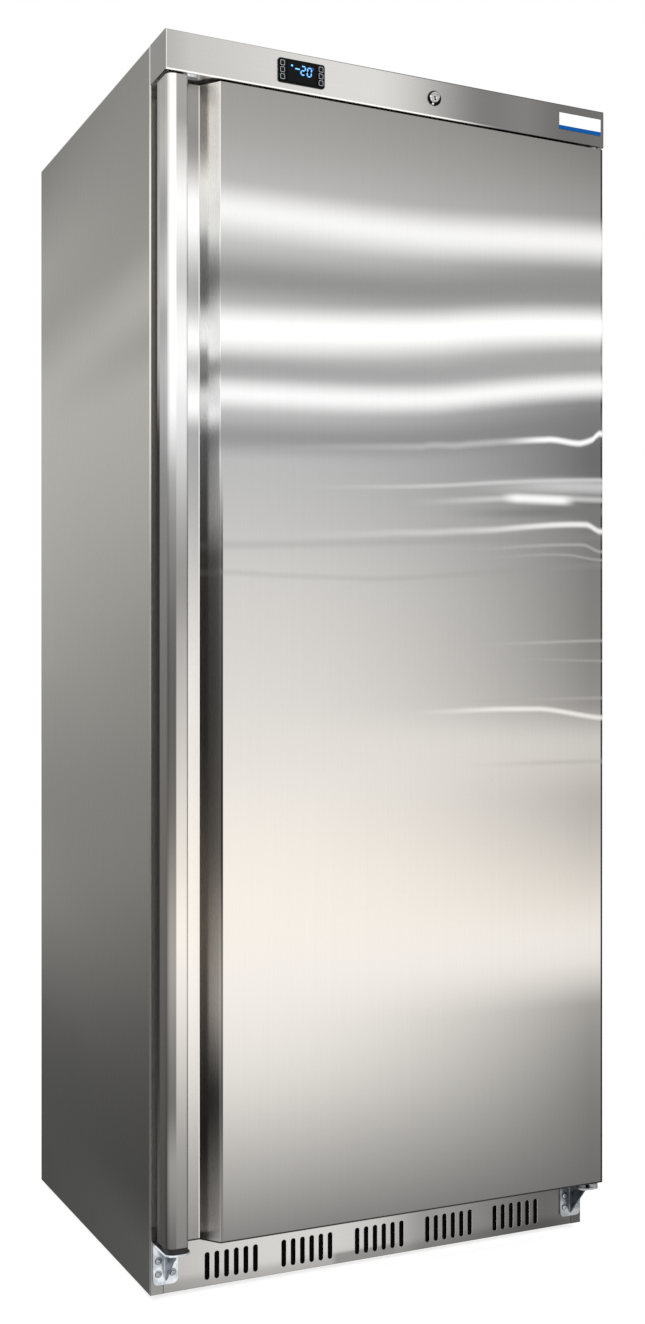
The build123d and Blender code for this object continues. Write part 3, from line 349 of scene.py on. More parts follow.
@dataclass(frozen=True)
class BrushedSteel(Finish):
    """Brushed stainless sheet with the room's reflections, highlights and shade painted into its colour as
    soft bands.

    Fields:
        tones: heights and the painted reflection tones over the whole sheet.
        zones: parts with their own painted reflections, highlights and shade.
        painted_reflections: thin painted reflection lines and bands.
        across: a run of painted shade along x that multiplies them, 255 leaves them.
        grain: direction of the brushing.
        gloss: roughness of the brushed surface.
        wave: how far the painted reflection bands stray from level lines, in metres.
        grain_depth: how much the brushing changes the tone.
        warmth: heights and the tints of the painted reflections there.
        edge_tint: how much it mirrors when seen nearly from the side, 1 is all.
    """

    tones: Tones = ((0.0, 190.0), (1.9, 200.0))
    zones: tuple[Zone, ...] = ()
    painted_reflections: tuple[PaintedReflection, ...] = ()
    across: Tones = ()
    grain: Grain = Grain.UPRIGHT
    gloss: float = 0.27
    wave: float = 0.004
    grain_depth: float = 0.035
    warmth: Warmth = STEEL_WARMTH
    edge_tint: float = 1.0

    def _run(self, nodes: Nodes, where: Value, tones: Tones) -> bpy.types.NodeSocket:
        """Returns the colour of a run of tones."""
        return nodes.ramp(where, [(place, paint(tone)) for place, tone in tones], "CARDINAL")

    def _height(self, nodes: Nodes) -> Value:
        """Returns the height that the painted reflection bands follow."""
        waves = nodes.noise((1.6, 1.6, 2.4), 1.0) - 0.5
        ripples = nodes.noise((6.0, 6.0, 11.0), 1.0) - 0.5
        return nodes.place("z") + waves * (4.0 * self.wave) + ripples * self.wave

    def _zone(self, nodes: Nodes, base: Any, height: Value, zone: Zone) -> bpy.types.NodeSocket:
        """Returns the base colour with one zone over it."""
        place = nodes.place(zone.axis)
        if zone.power:
            mask = nodes.share(place, *zone.start) ** zone.power
        else:
            mask = nodes.rise(place, *zone.start)
        if zone.end:
            mask = mask * (1.0 - nodes.rise(place, *zone.end))
        if zone.beside:
            axis, reach = zone.beside
            mask = mask * nodes.rise(nodes.place(axis), *reach)
        return nodes.blend(base, self._run(nodes, height, zone.tones), mask * zone.fill)

    def _paint_reflection(self, nodes: Nodes, base: Any, reflection_mark: PaintedReflection) -> bpy.types.NodeSocket:
        """Returns the base colour with one painted reflection line or band over it."""
        x = nodes.place("x")
        off = abs(nodes.place("z") - nodes.path(x, reflection_mark.path, "CARDINAL"))
        reach = nodes.rise(x, *reflection_mark.start) * (1.0 - nodes.rise(x, *reflection_mark.end))
        mask = (1.0 - nodes.rise(off, 0.0, reflection_mark.thickness)) * reach * reflection_mark.fill
        return nodes.blend(base, paint(reflection_mark.tone), mask)

    def dress(self, nodes: Nodes) -> None:
        """Fills the node tree: painted reflection bands, highlights and shade, brush lines, soft sheen along
        the grain.
        """
        height = self._height(nodes)
        base = self._run(nodes, height, self.tones)
        if self.across:
            base = nodes.blend(base, self._run(nodes, nodes.place("x"), self.across), 1.0, "MULTIPLY")
        for zone in self.zones:
            base = self._zone(nodes, base, height, zone)
        for reflection_mark in self.painted_reflections:
            base = self._paint_reflection(nodes, base, reflection_mark)
        # tints of the painted reflections, by height
        tints = [(place, paint(255.0, tint)) for place, tint in self.warmth]
        base = nodes.blend(base, nodes.ramp(nodes.place("z"), tints, "EASE"), 1.0, "MULTIPLY")
        x_scale, y_scale, z_scale = self.grain.value
        lines = nodes.noise((x_scale, y_scale, z_scale), 3.0, 0.6)
        broad = nodes.noise((x_scale / 5, y_scale / 5, z_scale / 4), 2.0, 0.5)
        brush = 1.0 + (lines - 0.5) * self.grain_depth * 2.0 + (broad - 0.5) * self.grain_depth
        base = nodes.blend(base, brush, 1.0, "MULTIPLY")
        rough = self.gloss + (lines - 0.5) * 0.10 + (nodes.noise((3.0, 3.0, 3.0), 2.0) - 0.5) * 0.05
        nodes.surface(
            {
                "Base Color": base,
                "Metallic": 1.0,
                "Roughness": rough,
                "Anisotropic": 0.7,
                "Specular Tint": (self.edge_tint,) * 3 + (1.0,),
                "Normal": nodes.bump(lines, 0.05, 0.0002),
            }
        )


@dataclass(frozen=True)
class Plain(Finish):
    """A surface of one colour with its own fine texture: plastic, rubber, paint, foam or bare metal.

    Fields:
        shade: red, green and blue tones.
        metallic: 1 for bare metal.
        gloss: roughness.
        mottle: how much the tone changes over the surface.
        mottle_scale: cells of that change in a metre.
        grain_scale: cells of the fine surface texture in a metre.
        relief: depth of that texture, in metres.
        coat: strength of a clear layer over it.
        shine: how much it mirrors when seen squarely, 0.5 is usual.
        turned: brushed by turning or pulling, so that its shine is drawn out.
    """

    shade: Point = (128.0, 128.0, 128.0)
    metallic: float = 0.0
    gloss: float = 0.4
    mottle: float = 0.08
    mottle_scale: float = 18.0
    grain_scale: float = 900.0
    relief: float = 0.00004
    coat: float = 0.0
    turned: float = 0.0
    shine: float = 0.5

    def dress(self, nodes: Nodes) -> None:
        """Fills the node tree: colour with soft mottling, fine texture in gloss and relief."""
        fine = nodes.noise((self.grain_scale,) * 3, 3.0, 0.6)
        cloud = nodes.noise((self.mottle_scale,) * 3, 3.0, 0.55)
        tone = 1.0 + (cloud - 0.5) * (2.0 * self.mottle) + (fine - 0.5) * self.mottle
        base = nodes.blend(colour(*self.shade), tone, 1.0, "MULTIPLY")
        nodes.surface(
            {
                "Base Color": base,
                "Metallic": self.metallic,
                "Roughness": self.gloss + (fine - 0.5) * 0.12 + (cloud - 0.5) * 0.08,
                "Coat Weight": self.coat,
                "Specular IOR Level": self.shine,
                "Anisotropic": self.turned,
                "Normal": nodes.bump(fine, 0.4, self.relief),
            }
        )


@dataclass(frozen=True)
class Spot:
    """A painted glint, crescent or patch of shade on a turned face: a round patch, or all that lies outside a
    circle on it.

    Fields:
        middle: its place across and above the face's own middle.
        edge: radii between which it fades.
        tone: how bright it is.
        outside: true if it is what lies outside the circle.
    """

    middle: Pair
    edge: Pair
    tone: float
    outside: bool = False


@dataclass(frozen=True)
class TurnedFace(Finish):
    """Polished turned metal, with the room's reflections painted into its colour as crescents and glints.

    Fields:
        tone: how bright its flat part is.
        spots: painted crescents, glints and shade.
        middle: across and height of the face's middle.
    """

    tone: float = 180.0
    spots: tuple[Spot, ...] = ()
    middle: Pair = LOCK_MIDDLE

    def dress(self, nodes: Nodes) -> None:
        """Fills the node tree: an even metal with its painted crescents, glints and shade, and fine turning
        lines.
        """
        base: Any = paint(self.tone)
        across, above = nodes.place("x") - self.middle[0], nodes.place("z") - self.middle[1]
        for spot in self.spots:
            aside, over = across - spot.middle[0], above - spot.middle[1]
            off = (aside * aside + over * over) ** 0.5
            reach = nodes.rise(off, *spot.edge)
            base = nodes.blend(base, paint(spot.tone), reach if spot.outside else 1.0 - reach)
        fine = nodes.noise((1500.0,) * 3, 2.0)
        nodes.surface(
            {
                "Base Color": base,
                "Metallic": 1.0,
                "Roughness": 0.16 + fine * 0.06,
                "Normal": nodes.bump(fine, 0.05, 0.00002),
            }
        )


@dataclass(frozen=True)
class ZincPlate(Finish):
    """Bright zinc plate: bluish metal with cloudy patches and fine scratches, with painted shade on the web,
    towards the right-hand side and round the screws.

    Fields:
        bright: tones of the bright patches.
        dull: tones between them.
        patches: patches in a metre.
        web_shade: painted shade of a bracket's upright web, before its plate and under its shelf.
        web_place: depth and height where that web begins.
        shaded: how much painted shade darkens it at the right-hand side.
        screw_rows: heights of the screws, which have a painted shadow ring round them.
        screw_columns: the screws' distances from the middle.
        rim: tones of that painted shadow ring.
        shadow_ring_edge: radii between which the painted shadow ring comes in, and those between which it
            goes.
        shadow_ring_fill: how much it covers.
        shadow_ring_rise: how far above the screws' row its middle is.
    """

    bright: Point = (232.0, 236.0, 240.0)
    dull: Point = (192.0, 199.0, 206.0)
    patches: float = 42.0
    web_shade: Point = (112.0, 119.0, 126.0)
    web_place: Pair = (-0.2825, 0.0862)
    shaded: float = 0.48
    screw_rows: Pair = SCREW_ROWS
    screw_columns: Pair = (BRACKET_X - SCREW_PITCH, BRACKET_X + SCREW_PITCH)
    rim: Point = (52.0, 54.0, 56.0)
    shadow_ring_edge: tuple[Pair, Pair] = ((0.0042, 0.0046), (0.0052, 0.0062))
    shadow_ring_fill: float = 0.85
    shadow_ring_rise: float = 0.0008

    def dress(self, nodes: Nodes) -> None:
        """Fills the node tree: patches of bright and dull zinc, with painted shade on the web, towards the
        right and in rings round the screws.
        """
        patch = nodes.noise((self.patches,) * 3, 3.0, 0.6)
        scratch = nodes.noise((420.0, 2400.0, 2400.0), 2.0)
        mask = nodes.rise(patch, 0.40, 0.60)
        base = nodes.blend(colour(*self.dull), colour(*self.bright), mask)
        # painted shade on the upright web
        depth, height = self.web_place
        behind = nodes.rise(nodes.place("y"), depth, depth - 0.001)
        web_shade = behind * nodes.rise(nodes.place("z"), height, height - 0.0008)
        base = nodes.blend(base, colour(*self.web_shade), web_shade)
        # painted shade towards the right-hand side
        shade_to_right = 1.0 - nodes.share(nodes.place("x"), -0.2, 0.3) * self.shaded
        base = nodes.blend(base, shade_to_right, 1.0, "MULTIPLY")
        # painted shadow rings round the screw heads
        front = nodes.rise(nodes.place("y"), depth, depth + 0.0008)
        inner, outer = self.shadow_ring_edge
        for row in self.screw_rows:
            for column in self.screw_columns:
                aside = abs(nodes.place("x")) - column
                over = nodes.place("z") - (row + self.shadow_ring_rise)
                off = (aside * aside + over * over) ** 0.5
                ring = nodes.rise(off, *inner) * (1.0 - nodes.rise(off, *outer))
                base = nodes.blend(base, colour(*self.rim), ring * front * self.shadow_ring_fill)
        base = nodes.blend(base, 0.93 + scratch * 0.14, 1.0, "MULTIPLY")
        nodes.surface(
            {
                "Base Color": base,
                "Metallic": 1.0,
                "Roughness": 0.30 - mask * 0.08 + (scratch - 0.5) * 0.08,
                "Normal": nodes.bump(patch, 0.12, 0.0006),
            }
        )


@dataclass(frozen=True)
class Galvanised(Finish):
    """Hot-dip zinc on steel sheet, with its spangle of flat crystals."""

    shade: Point = (188.0, 192.0, 195.0)
    crystals: float = 75.0

    def dress(self, nodes: Nodes) -> None:
        """Fills the node tree: crystals of slightly different tone and gloss."""
        sockets = {"Vector": nodes.stretched((self.crystals,) * 3), "Scale": 1.0}
        cells = nodes.add("TexVoronoi", {}, sockets)
        crystal = Value(nodes, nodes.add("SeparateColor", {}, {0: cells.outputs["Color"]}).outputs[0])
        cloud = nodes.noise((5.0, 5.0, 5.0), 3.0)
        tone = 0.86 + crystal * 0.16 + (cloud - 0.5) * 0.12
        base = nodes.blend(colour(*self.shade), tone, 1.0, "MULTIPLY")
        nodes.surface(
            {
                "Base Color": base,
                "Metallic": 1.0,
                "Roughness": 0.34 + crystal * 0.14,
                "Normal": nodes.bump(crystal, 0.12, 0.0003),
            }
        )


@dataclass(frozen=True)
class StripedLabel(Finish):
    """Glossy white label plate with a plain blue stripe along its lower edge."""

    stripe_top: float = 0.0
    white: Point = (244.0, 246.0, 248.0)
    blue: Point = (2.0, 84.0, 158.0)

    def dress(self, nodes: Nodes) -> None:
        """Fills the node tree: stripe below, white above, a little unevenness in the print."""
        z = nodes.place("z")
        above = nodes.rise(z, self.stripe_top - 0.0002, self.stripe_top + 0.0002)
        fine = nodes.noise((700.0, 700.0, 700.0), 2.0)
        base = nodes.blend(colour(*self.blue), colour(*self.white), above)
        base = nodes.blend(base, 0.97 + fine * 0.05, 1.0, "MULTIPLY")
        nodes.surface(
            {
                "Base Color": base,
                "Roughness": 0.24 + fine * 0.06,
                "Specular IOR Level": 0.04,
                "Normal": nodes.bump(fine, 0.15, 0.00004),
            }
        )


@dataclass(frozen=True)
class Glow(Finish):
    """Lit parts of a display."""

    shade: Point = (104.0, 182.0, 255.0)
    strength: float = 1.7

    def dress(self, nodes: Nodes) -> None:
        """Fills the node tree: a plain glow with a faint grain."""
        fine = nodes.noise((900.0, 900.0, 900.0), 2.0)
        shine = nodes.blend(colour(*self.shade), 0.85 + fine * 0.3, 1.0, "MULTIPLY")
        nodes.surface(
            {
                "Base Color": colour(8.0, 20.0, 60.0),
                "Emission Color": shine,
                "Emission Strength": self.strength,
                "Roughness": 0.3 + fine * 0.05,
            }
        )


# ---------------------------------------------------------------------------------------------
# Painted reflections, highlights and shade on the steel sheets: a few round values each, for what is seen on
# them
# ---------------------------------------------------------------------------------------------
DOOR_LEFT: Tones = (
    (0.08, 125), (0.30, 210), (0.55, 240), (0.85, 220), (1.10, 200), (1.30, 180), (1.45, 195), (1.60, 195),
    (1.72, 170), (1.85, 150),
)
DOOR_RIGHT: Tones = (
    (0.08, 105), (0.40, 160), (0.48, 225), (0.60, 210), (0.73, 180), (0.84, 195), (0.90, 145), (1.20, 120),
    (1.36, 110), (1.46, 155), (1.70, 155), (1.85, 120),
)
BAR_FRONT: Tones = (
    (0.10, 130), (0.30, 180), (0.50, 235), (0.65, 230), (1.00, 170), (1.15, 160), (1.35, 230), (1.46, 240),
    (1.53, 200), (1.64, 245), (1.75, 175), (1.80, 160),
)
BAR_SIDE: Tones = (
    (0.10, 60), (0.45, 90), (1.00, 120), (1.25, 145), (1.39, 190), (1.47, 175), (1.53, 200), (1.63, 165),
    (1.72, 190), (1.80, 175),
)
BAR_BACK: Tones = ((0.10, 60), (0.15, 85), (0.35, 20), (1.30, 20), (1.42, 185), (1.80, 170))
BAR_EDGE: Tones = (
    (0.10, 105), (0.22, 150), (0.32, 115), (0.54, 160), (0.75, 110), (1.05, 110), (1.24, 170), (1.34, 245),
    (1.80, 250),
)
RECESS_FLOOR: Tones = (
    (0.10, 145), (0.30, 210), (0.50, 245), (0.80, 235), (1.00, 220), (1.31, 170), (1.35, 250), (1.41, 195),
    (1.45, 250), (1.50, 185), (1.55, 185), (1.62, 250), (1.66, 245), (1.72, 160), (1.80, 145),
)
WALL_FAR: Tones = (
    (0.10, 70), (0.25, 35), (0.56, 65), (0.90, 40), (1.30, 70), (1.34, 160), (1.38, 85), (1.44, 90),
    (1.475, 210), (1.52, 110), (1.60, 110), (1.68, 240), (1.74, 115), (1.83, 105),
)
WALL_NEAR: Tones = (
    (0.10, 115), (0.31, 40), (0.46, 115), (0.70, 60), (1.12, 60), (1.18, 115), (1.30, 125), (1.33, 230),
    (1.37, 185), (1.42, 250), (1.45, 190), (1.51, 240), (1.56, 165), (1.65, 245), (1.83, 220),
)
WALL_EDGE: Tones = (
    (0.10, 110), (0.31, 60), (0.48, 120), (0.68, 60), (1.12, 65), (1.22, 135), (1.32, 240), (1.83, 250),
)
WALL_SHADE: Tones = ((0.10, 125), (0.20, 120), (0.31, 80), (0.48, 120), (0.67, 50), (1.12, 80), (1.16, 100))
SIDE_FRONT: Tones = (
    (0.06, 80), (0.17, 60), (0.42, 90), (0.62, 125), (0.85, 140), (1.05, 160), (1.38, 185), (1.45, 170),
    (1.52, 185), (1.60, 160), (1.86, 145),
)
SIDE_REAR: Tones = (
    (0.07, 50), (0.32, 85), (0.52, 135), (0.78, 145), (0.98, 170), (1.46, 195), (1.58, 170), (1.72, 170),
    (1.89, 135),
)
SIDE_EDGE: Tones = (
    (0.03, 125), (0.10, 105), (0.45, 110), (0.80, 135), (1.00, 165), (1.10, 170), (1.31, 230), (1.60, 250),
    (1.72, 245), (1.81, 220),
)
SIDE_RETURN: Tones = ((0.01, 150), (0.10, 140), (1.85, 150))
HEADER_ALONG: Tones = (
    (-0.388, 180), (-0.35, 195), (-0.05, 215), (0.04, 185), (0.13, 130), (0.24, 125), (0.30, 110),
    (0.388, 110),
)
GRILLE_ALONG: Tones = (
    (-0.388, 185), (-0.20, 210), (0.0, 195), (0.07, 155), (0.13, 145), (0.30, 105), (0.388, 120),
)


def even(tone: float) -> Tones:
    """Returns a run of one tone over the whole height."""
    return ((0.0, tone), (1.9, tone))


def seen_twice(tones: Tones, contrast: float = 1.25, lowest: float = 3.0, level: float = 263.0) -> Tones:
    """Returns painted reflection tones for a sheet that mirrors itself once more before it mirrors the room.

    Args:
        tones: the run as it is seen.
        contrast: how much the differences from a middle grey are drawn out first.
        lowest: the darkest tone that is used.
        level: tone that stands for white, before it is cut to 255.

    Returns:
        The painted reflection run given to the sheet's colour.
    """
    run = []
    for place, tone in tones:
        drawn = min(max(MIDDLE_GREY + contrast * (tone - MIDDLE_GREY), lowest), 255.0)
        run.append((place, min(level * math.sqrt(drawn / 255.0), 255.0)))
    return tuple(run)


RIGHT_EDGE = 0.378
DOOR_REFLECTION_BANDS = (
    # painted reflection: dark bands under, between and over the bright ones
    PaintedReflection(((-0.30, 1.302), (0.08, 1.325), (RIGHT_EDGE, 1.365)), 0.040, 122.0, fill=0.60),
    PaintedReflection(((-0.30, 1.405), (0.08, 1.430), (RIGHT_EDGE, 1.477)), 0.032, 158.0, fill=0.90),
    PaintedReflection(((-0.30, 1.540), (0.08, 1.562), (RIGHT_EDGE, 1.600)), 0.070, 135.0, fill=0.90),
    # painted reflection: three bright bands
    PaintedReflection(((-0.30, 1.365), (0.08, 1.389), (RIGHT_EDGE, 1.434)), 0.031, 244.0, fill=0.97),
    PaintedReflection(((-0.30, 1.460), (0.08, 1.495), (RIGHT_EDGE, 1.532)), 0.047, 254.0, fill=1.00),
    PaintedReflection(((-0.30, 1.640), (0.08, 1.648), (RIGHT_EDGE, 1.672)), 0.050, 240.0, fill=0.96),
)
# paths of two painted reflection lines on the door
CRESCENT = ((0.12, 1.318), (0.27, 1.336), (0.34, 1.335), (0.366, 1.344), (RIGHT_EDGE, 1.354))
UPPER_LINE = ((0.08, 1.176), (0.20, 1.187), (0.35, 1.200), (RIGHT_EDGE, 1.190))
DOOR_REFLECTION_LINES = (
    # painted reflection: the crescent under the bright bands
    PaintedReflection(((-0.29, 1.287), (0.04, 1.309)) + CRESCENT, 0.0090, 192.0, (-0.30, 0.15), 0.65),
    PaintedReflection(CRESCENT, 0.0075, 250.0, (0.18, 0.28), 0.95),
    # painted reflection: the pale patch at the right and its upper edge
    PaintedReflection(((0.0, 1.245), (0.22, 1.256), (RIGHT_EDGE, 1.264)), 0.0210, 196.0, (0.08, 0.32), 0.90),
    PaintedReflection(((-0.15, 1.235), (0.12, 1.254), (RIGHT_EDGE, 1.276)), 0.0060, 206.0, (-0.20, 0.10), 0.70),
    PaintedReflection(((0.0, 1.219), (0.20, 1.236), (RIGHT_EDGE, 1.243)), 0.0085, 204.0, (0.00, 0.18), 0.75),
    PaintedReflection(((0.15, 1.236), (0.33, 1.238)), 0.0120, 246.0, (0.180, 0.220), 0.95, (0.300, 0.335)),
    # painted reflection: the dark line and the pale one under it
    PaintedReflection(((0.0, 1.205), (0.20, 1.212), (RIGHT_EDGE, 1.223)), 0.0130, 118.0, (0.05, 0.30), 0.75),
    PaintedReflection(((-0.29, 1.153), (-0.04, 1.168)) + UPPER_LINE, 0.0090, 208.0, (-0.26, 0.15), 0.70),
    PaintedReflection(UPPER_LINE, 0.0065, 236.0, (0.10, 0.32), 0.90),
    PaintedReflection(((-0.29, 1.140), (RIGHT_EDGE, 1.180)), 0.0110, 140.0, fill=0.24),
    # painted reflection: faint swirls
    PaintedReflection(((0.09, 1.147), (0.34, 1.166), (RIGHT_EDGE, 1.156)), 0.0050, 176.0, (0.08, 0.25), 0.65),
    PaintedReflection(((0.09, 1.130), (0.29, 1.148), (RIGHT_EDGE, 1.142)), 0.0042, 168.0, (0.10, 0.25), 0.60),
    PaintedReflection(((-0.29, 1.099), (-0.04, 1.097), (RIGHT_EDGE, 1.133)), 0.0080, 150.0, fill=0.22),
    PaintedReflection(((0.14, 0.997), (RIGHT_EDGE, 1.007)), 0.0045, 186.0, (0.12, 0.27), 0.50),
    PaintedReflection(((0.20, 0.975), (RIGHT_EDGE, 0.973)), 0.0040, 170.0, (0.20, 0.30), 0.45),
    PaintedReflection(((0.12, 0.906), (RIGHT_EDGE, 0.911)), 0.0045, 172.0, (0.10, 0.25), 0.55),
    PaintedReflection(((0.0, 0.887), (0.26, 0.893), (RIGHT_EDGE, 0.878)), 0.0070, 236.0, (0.00, 0.22), 0.85),
    PaintedReflection(((0.10, 0.803), (RIGHT_EDGE, 0.805)), 0.0070, 170.0, (0.10, 0.32), 0.40),
)

DOOR_STEEL = BrushedSteel(
    "brushed_steel_door",
    # painted reflections on the door's front, its left part
    tones=DOOR_LEFT,
    painted_reflections=DOOR_REFLECTION_BANDS + DOOR_REFLECTION_LINES,
    zones=(
        # painted reflections on the door's right part
        Zone("x", (-0.28, 0.36), DOOR_RIGHT, power=1.8),
        # painted shade low on the slanted wall of the finger recess
        Zone("x", (-0.2980, -0.2992), WALL_SHADE, beside=("z", (1.26, 1.13))),
        # painted reflections on the slanted wall
        Zone("x", (-0.3018, -0.3032), seen_twice(WALL_NEAR)),
        Zone("x", (-0.3130, -0.3178), seen_twice(WALL_FAR)),
        # painted highlight and shade along the corner of the slanted wall
        Zone("x", (-0.3022, -0.3026), seen_twice(WALL_EDGE), (-0.3038, -0.3044), fill=0.9),
        # painted shade on the door's right end face
        Zone("x", (0.3800, 0.3812), even(58.0)),
        # painted shadow along the door's bottom edge
        Zone("z", (0.1014, 0.1002), even(52.0)),
    ),
)
HANDLE_STEEL = BrushedSteel(
    "brushed_steel_handle",
    # painted reflections on the floor of the finger recess
    tones=RECESS_FLOOR,
    zones=(
        # painted reflections on the bar's front
        Zone("x", (-0.3490, -0.3530), BAR_FRONT),
        # painted highlight on the bar's rounded corner
        Zone("x", (-0.3712, -0.3735), BAR_EDGE),
        # painted reflections on the bar's side
        Zone("x", (-0.3835, -0.3850), BAR_SIDE),
        # painted shade on the bar's side towards the back
        Zone("y", (-0.3150, -0.3105), BAR_BACK, beside=("x", (-0.3800, -0.3835))),
        # painted highlight along the seam of the slanted wall
        Zone("x", (-0.3264, -0.3252), even(250.0), fill=0.92),
        # painted reflection: the bar's inner wall, painted near white so that the slanted wall mirrors it
        # bright; seen only in the slanted wall
        Zone("x", (-0.3560, -0.3540), even(252.0), (-0.3512, -0.3490), beside=("y", (-0.3430, -0.3410))),
        # painted shadow along the handle's bottom edge
        Zone("z", (0.1014, 0.1002), even(52.0)),
    ),
    edge_tint=0.6,
)
SIDE_STEEL = BrushedSteel(
    "brushed_steel_side",
    # painted reflections on the side panels, front part
    tones=SIDE_FRONT,
    zones=(
        # painted reflections towards the rear
        Zone("y", (-0.27, 0.34), SIDE_REAR, power=1.0),
        # painted highlight along the front bend
        Zone("y", (-0.2716, -0.2738), SIDE_EDGE),
        # painted reflection on the front return
        Zone("y", (-0.2779, -0.27797), SIDE_RETURN),
        # painted shade on the front return of the right-hand panel
        Zone("y", (-0.2779, -0.27797), even(90.0), beside=("x", (0.0, 0.2))),
    ),
    wave=0.010,
    warmth=SIDE_WARMTH,
    edge_tint=0.55,
)
HEADER_STEEL = BrushedSteel(
    "brushed_steel_header",
    # painted reflection: near white, darker to the right through the run across
    tones=even(252.0),
    zones=(
        # painted shade on the right end face
        Zone("x", (0.3860, 0.3872), even(62.0)),
        # painted highlight along the bottom fold
        Zone("z", (1.8381, 1.8374), even(254.0), beside=("x", (0.20, 0.06))),
        # painted shade along the top edge
        Zone("z", (1.8926, 1.8936), even(88.0), fill=0.85, beside=("x", (-0.34, 0.10))),
        # painted highlight on the left bend
        Zone("x", (-0.3862, -0.3872), even(250.0), fill=0.85),
        # painted shade on the left end face
        Zone("x", (-0.3875, -0.3881), even(112.0)),
    ),
    across=HEADER_ALONG,
    grain=Grain.LEVEL,
    warmth=NEUTRAL,
)
GRILLE_STEEL = BrushedSteel(
    "brushed_steel_grille",
    # painted shade towards the bottom, and painted reflection darker to the right through the run across
    tones=((0.0, 205.0), (0.022, 220.0), (0.034, 252.0), (0.11, 255.0)),
    zones=(
        # painted reflection of a dark object
        Zone("x", (-0.090, -0.074), even(138.0), (0.020, 0.040), fill=0.85, beside=("z", (0.030, 0.024))),
        # painted highlight on the slot rims and folded edges
        Zone("y", (-0.27795, -0.2775), even(255.0)),
        # painted shade on the end folds
        Zone("x", (0.3672, 0.3678), even(60.0)),
        Zone("x", (-0.3672, -0.3678), even(60.0)),
    ),
    across=GRILLE_ALONG,
    grain=Grain.LEVEL,
    warmth=NEUTRAL,
)
FRAME_STEEL = BrushedSteel("brushed_steel_frame", tones=((0.0, 150.0), (0.9, 190.0), (1.9, 205.0)))
TOP_STEEL = BrushedSteel("brushed_steel_top", tones=((0.0, 180.0), (1.9, 196.0)), grain=Grain.LEVEL)
GALVANISED = Galvanised("galvanised_sheet")
ZINC = ZincPlate("bright_zinc_plate")
HINGE_STEEL = Plain("turned_hinge_steel", (150.0, 152.0, 154.0), 1.0, 0.20, 0.05, turned=0.4)
SCREW = Plain("screw_steel", (172.0, 175.0, 178.0), 1.0, 0.18, 0.10, turned=0.3)
LINER = Plain("white_liner", (232.0, 234.0, 233.0), 0.0, 0.34, 0.02, 3.0, 260.0, 0.00008)
DOOR_LINER = Plain("white_door_liner", (235.0, 236.0, 234.0), 0.0, 0.34, 0.02, 3.0, 260.0, 0.00008)
FOAM = Plain("rigid_foam", (214.0, 196.0, 132.0), 0.0, 0.85, 0.16, 60.0, 400.0, 0.0005)
GASKET = Plain("door_gasket_rubber", (10.0, 10.0, 11.0), 0.0, 0.70, 0.12, 30.0, 1200.0, 0.00003, shine=0.02)
PAD = Plain("rest_pad_rubber", (20.0, 20.0, 21.0), 0.0, 0.62, 0.15, 60.0, 1200.0, 0.00006)
# a dark sheet behind the grille's slots, painted shade for the dark space there
SLOT_SHADE_SHEET = Plain("slot_shade_sheet", (12.0, 12.0, 12.0), 0.0, 0.95, 0.3, 260.0, 1500.0, 0.0004, shine=0.05)
HOUSING = Plain("black_housing", (9.0, 9.0, 10.0), 0.0, 0.34, 0.10, 30.0, 2200.0, 0.00002, shine=0.05)
DISPLAY = Plain("dark_display_glass", (6.0, 7.0, 9.0), 0.0, 0.12, 0.05, 30.0, 300.0, 0.000002, shine=0.10)
KEY = Plain("key_face", (14.0, 14.0, 15.0), 0.0, 0.36, 0.08, 60.0, 2600.0, 0.00002, shine=0.12)
KEY_LINE = Plain("key_outline", (186.0, 192.0, 198.0), 0.0, 0.4, 0.04, 60.0, 1500.0, 0.00001)
CHROME = TurnedFace(
    "turned_lock_ring",
    tone=190.0,
    spots=(
        # painted reflections: dark crescents round the ring and white glints on it
        Spot((0.0014, -0.0006), (0.0098, 0.0106), 34.0, True),
        Spot((-0.0016, 0.0030), (0.0096, 0.0106), 12.0, True),
        Spot((-0.0074, 0.0014), (0.0012, 0.0026), 255.0),
        Spot((-0.0058, -0.0030), (0.0008, 0.0020), 248.0),
        Spot((-0.0036, -0.0098), (0.0010, 0.0022), 255.0),
        Spot((0.0052, 0.0062), (0.0010, 0.0030), 150.0),
    ),
)
LOCK_CORE = TurnedFace(
    "turned_lock_core",
    tone=182.0,
    spots=(
        # painted shade in the keyway and a painted glint beside it
        Spot((0.0002, 0.0016), (0.0011, 0.0019), 6.0),
        Spot((0.0010, -0.0022), (0.0008, 0.0017), 6.0),
        Spot((0.0026, 0.0006), (0.0004, 0.0014), 255.0),
    ),
)
NYLON = Plain("white_nylon", (222.0, 220.0, 212.0), 0.0, 0.42, 0.04, 40.0, 800.0, 0.00002)
COIL = Plain("coated_coil_steel", (206.0, 209.0, 210.0), 0.0, 0.36, 0.05, 25.0, 500.0, 0.00008)
COMPRESSOR = Plain("compressor_enamel", (19.0, 19.0, 20.0), 0.0, 0.28, 0.10, 25.0, 300.0, 0.0002, coat=0.3)
FINS = Plain("aluminium_fins", (196.0, 199.0, 202.0), 1.0, 0.38, 0.10, 40.0, 900.0, 0.00004)
MOTOR = Plain("motor_casting", (148.0, 150.0, 152.0), 1.0, 0.46, 0.14, 30.0, 700.0, 0.0002)
FAN = Plain("pressed_fan_sheet", (204.0, 206.0, 208.0), 1.0, 0.30, 0.06, 25.0, 900.0, 0.00003)
COPPER = Plain("drawn_copper", (214.0, 140.0, 104.0), 1.0, 0.26, 0.14, 45.0, 800.0, 0.00003)
DIGIT = Glow("display_digit")
DIM_DIGIT = Glow("display_degree", (44.0, 92.0, 214.0), 1.0)


